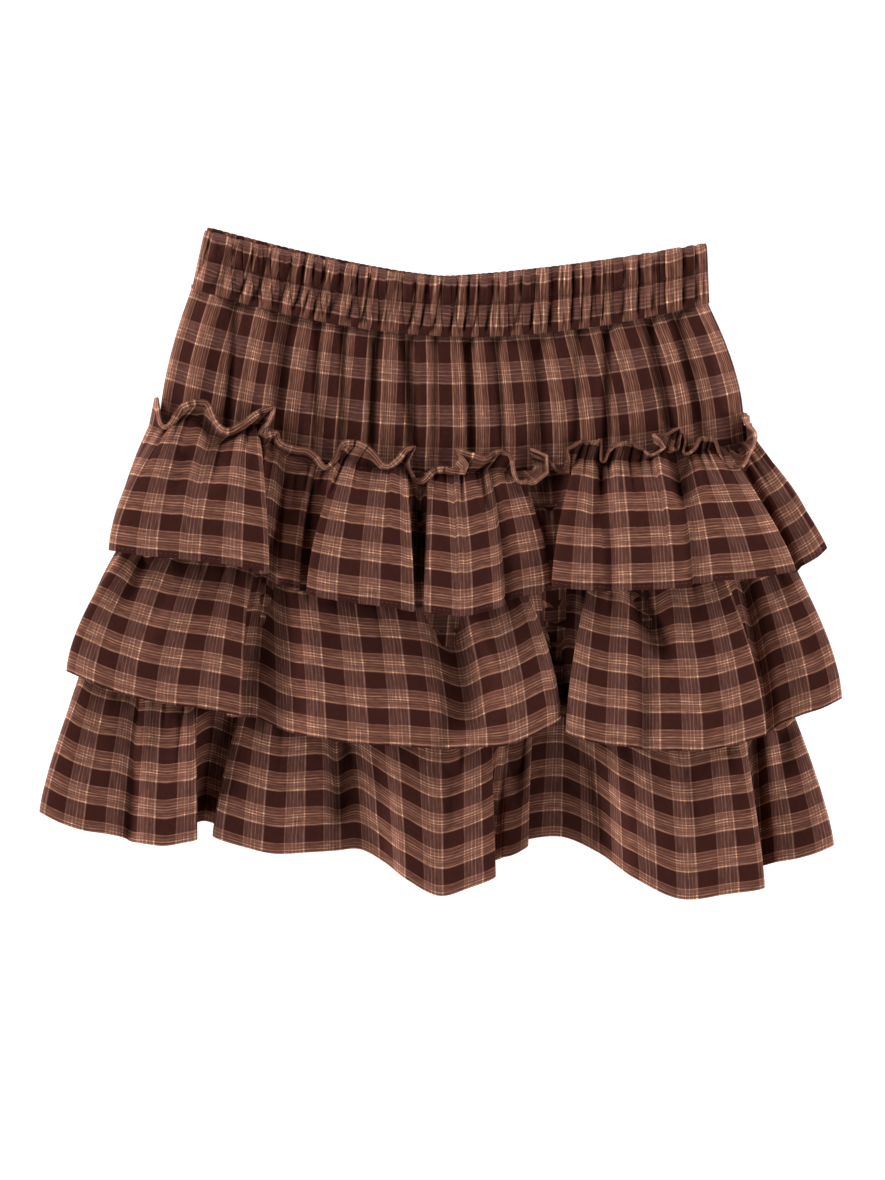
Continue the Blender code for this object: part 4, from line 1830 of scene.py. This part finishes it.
@dataclass
class Studio:
    """The board, the lights and the camera, in metres and the camera's in mm."""

    lens: float = 77.03
    sensor: float = 36.0
    board: float = 6.0
    board_drop: float = 0.0003  # from the cloth down to the board
    room: float = 0.02  # strength of the light from all around
    lamp_size: float = 1.3
    reach: float = 3.2  # from the skirt to each lamp
    lamps: tuple[Lamp, ...] = (
        Lamp(0.0, 12.0, 62.0),
        Lamp(45.0, 12.0, 38.0),
        Lamp(135.0, 12.0, 40.0),
        Lamp(180.0, 12.0, 88.0),
        Lamp(225.0, 12.0, 36.0),
        Lamp(270.0, 12.0, 20.0),
        Lamp(0.0, 36.0, 26.0),
        Lamp(135.0, 36.0, 20.0),
        Lamp(180.0, 36.0, 6.0),
        Lamp(315.0, 36.0, 18.0),
    )

    def camera(self) -> None:
        """A camera at EYE that looks at AIM, with the waist at the top of its frame."""
        data = bpy.data.cameras.new("camera")
        data.sensor_fit = "AUTO"
        data.sensor_width = self.sensor
        data.lens = self.lens
        data.clip_start = 0.05
        data.clip_end = 20
        camera = bpy.data.objects.new("camera", data)
        camera.location = (EYE - ORIGIN) * MM
        ahead = Vector(AIM - EYE).normalized()
        right = ahead.cross(Vector((0, 1, 0))).normalized()
        axes = (right, right.cross(ahead), -ahead)
        camera.rotation_mode = "QUATERNION"
        camera.rotation_quaternion = Matrix(axes).transposed().to_quaternion()
        bpy.context.scene.collection.objects.link(camera)
        bpy.context.scene.camera = camera

    def light(self, at: Lamp) -> None:
        """A square lamp that faces the skirt, at the place and power given.

        Args:
            at: Its place and power.
        """
        data = bpy.data.lights.new(f"lamp_{at.bearing:.0f}_{at.lift:.0f}", "AREA")
        data.shape = "SQUARE"
        data.size = self.lamp_size
        data.energy = at.power
        lamp = bpy.data.objects.new(data.name, data)
        lamp.visible_camera = False
        turn, lift = math.radians(at.bearing), math.radians(at.lift)
        level_out = math.cos(lift)
        out = Vector((math.cos(turn) * level_out, math.sin(turn) * level_out, math.sin(lift)))
        lamp.location = out * self.reach
        lamp.rotation_mode = "QUATERNION"
        lamp.rotation_quaternion = (-out).to_track_quat("-Z", "Y")
        bpy.context.scene.collection.objects.link(lamp)

    def build(self) -> None:
        """Sets up the board, the lights, the surrounding light and the camera."""
        floor = bmesh.new()
        bmesh.ops.create_grid(floor, x_segments=1, y_segments=1, size=self.board / 2)
        bmesh.ops.translate(floor, verts=floor.verts, vec=(0, 0, -self.board_drop))
        linked("board", floor, Board().make())
        for lamp in self.lamps:
            self.light(lamp)
        world = bpy.data.worlds.new("room")
        world.use_nodes = True
        light = world.node_tree.nodes["Background"]
        light.inputs["Color"].default_value = (1.0, 1.0, 1.0, 1.0)
        light.inputs["Strength"].default_value = self.room
        scene = bpy.context.scene
        scene.world = world
        scene.view_settings.view_transform = "Standard"
        self.camera()


def tiers(ground: Ground) -> tuple[Ruffle, ...]:
    """The three ruffles on one ground, from the lowest up, in the order they lie in.

    Args:
        ground: What lies under them, which each adds itself to.

    Returns:
        The ruffles.
    """
    lower = Ruffle(
        "ruffle_3",
        Edge(-224, -58, 8, -94, 217, -68),
        seat=9.4,
        swell=1.3,
        spread=1.3,
        folds=LOWER_FOLDS,
        back_hem=Edge(-250, -160, 0, -168, 249, -180),
        back_flutes=11,
        creases=LOWER_CREASES,
        puckers=Puckers(51, 8.0, 2.8, 2.0, 0.9, -220, 213),
        back_puckers=Puckers(52, 7.0, 1.8, 1.6, 0.9, -220, 213),
        phase=(8.0, 5.5),
        drop=120.0,
        per_turn=15,
        ground=ground,
    )
    middle = Ruffle(
        "ruffle_2",
        Edge(-197, 20, 8, -7, 222, 10),
        seat=9.6,
        swell=1.3,
        spread=1.6,
        folds=MIDDLE_FOLDS,
        back_hem=Edge(-231, -71, 0, -104, 254, -88),
        back_flutes=10,
        creases=MIDDLE_CREASES,
        puckers=Puckers(41, 8.0, 2.6, 2.0, 0.8, -193, 218),
        back_puckers=Puckers(42, 7.0, 1.7, 1.6, 0.7, -193, 217),
        phase=(15.0, 21.5),
        drop=120.0,
        per_turn=16,
        ground=ground,
    )
    upper = Ruffle(
        "ruffle_1",
        Edge(-184, 87, 21, 57, 203, 78),
        seat=10.8,
        swell=2.2,
        spread=1.7,
        folds=UPPER_FOLDS,
        back_hem=Edge(-205, 7, 0, -25, 244, 7),
        back_flutes=9,
        creases=UPPER_CREASES,
        puckers=Puckers(31, 5.0, 3.4, 1.3, 0.5, -180, 199),
        back_puckers=Puckers(32, 7.0, 1.7, 1.6, 0.7, -180, 200),
        phase=(4.0, 18.0),
        drop=105.0,
        right_spread=1.15,
        headed=True,
        ground=ground,
    )
    return lower, middle, upper


def main() -> None:
    """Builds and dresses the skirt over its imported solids, then sets up the studio."""
    logging.basicConfig(level=logging.INFO, format="%(name)s: %(message)s")
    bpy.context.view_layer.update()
    thread = Thread("brown_thread").make()
    ruffle_cloth = Plaid("ruffle_plaid").make()
    ground = Ground()
    Waistband().build(Plaid("waistband_plaid").make(), thread)
    Yoke().build(Plaid("yoke_plaid").make(), ground)
    for ruffle in tiers(ground):
        ruffle.build(ruffle_cloth, thread)
    Studio().build()


if __name__ == "__main__":
    main()
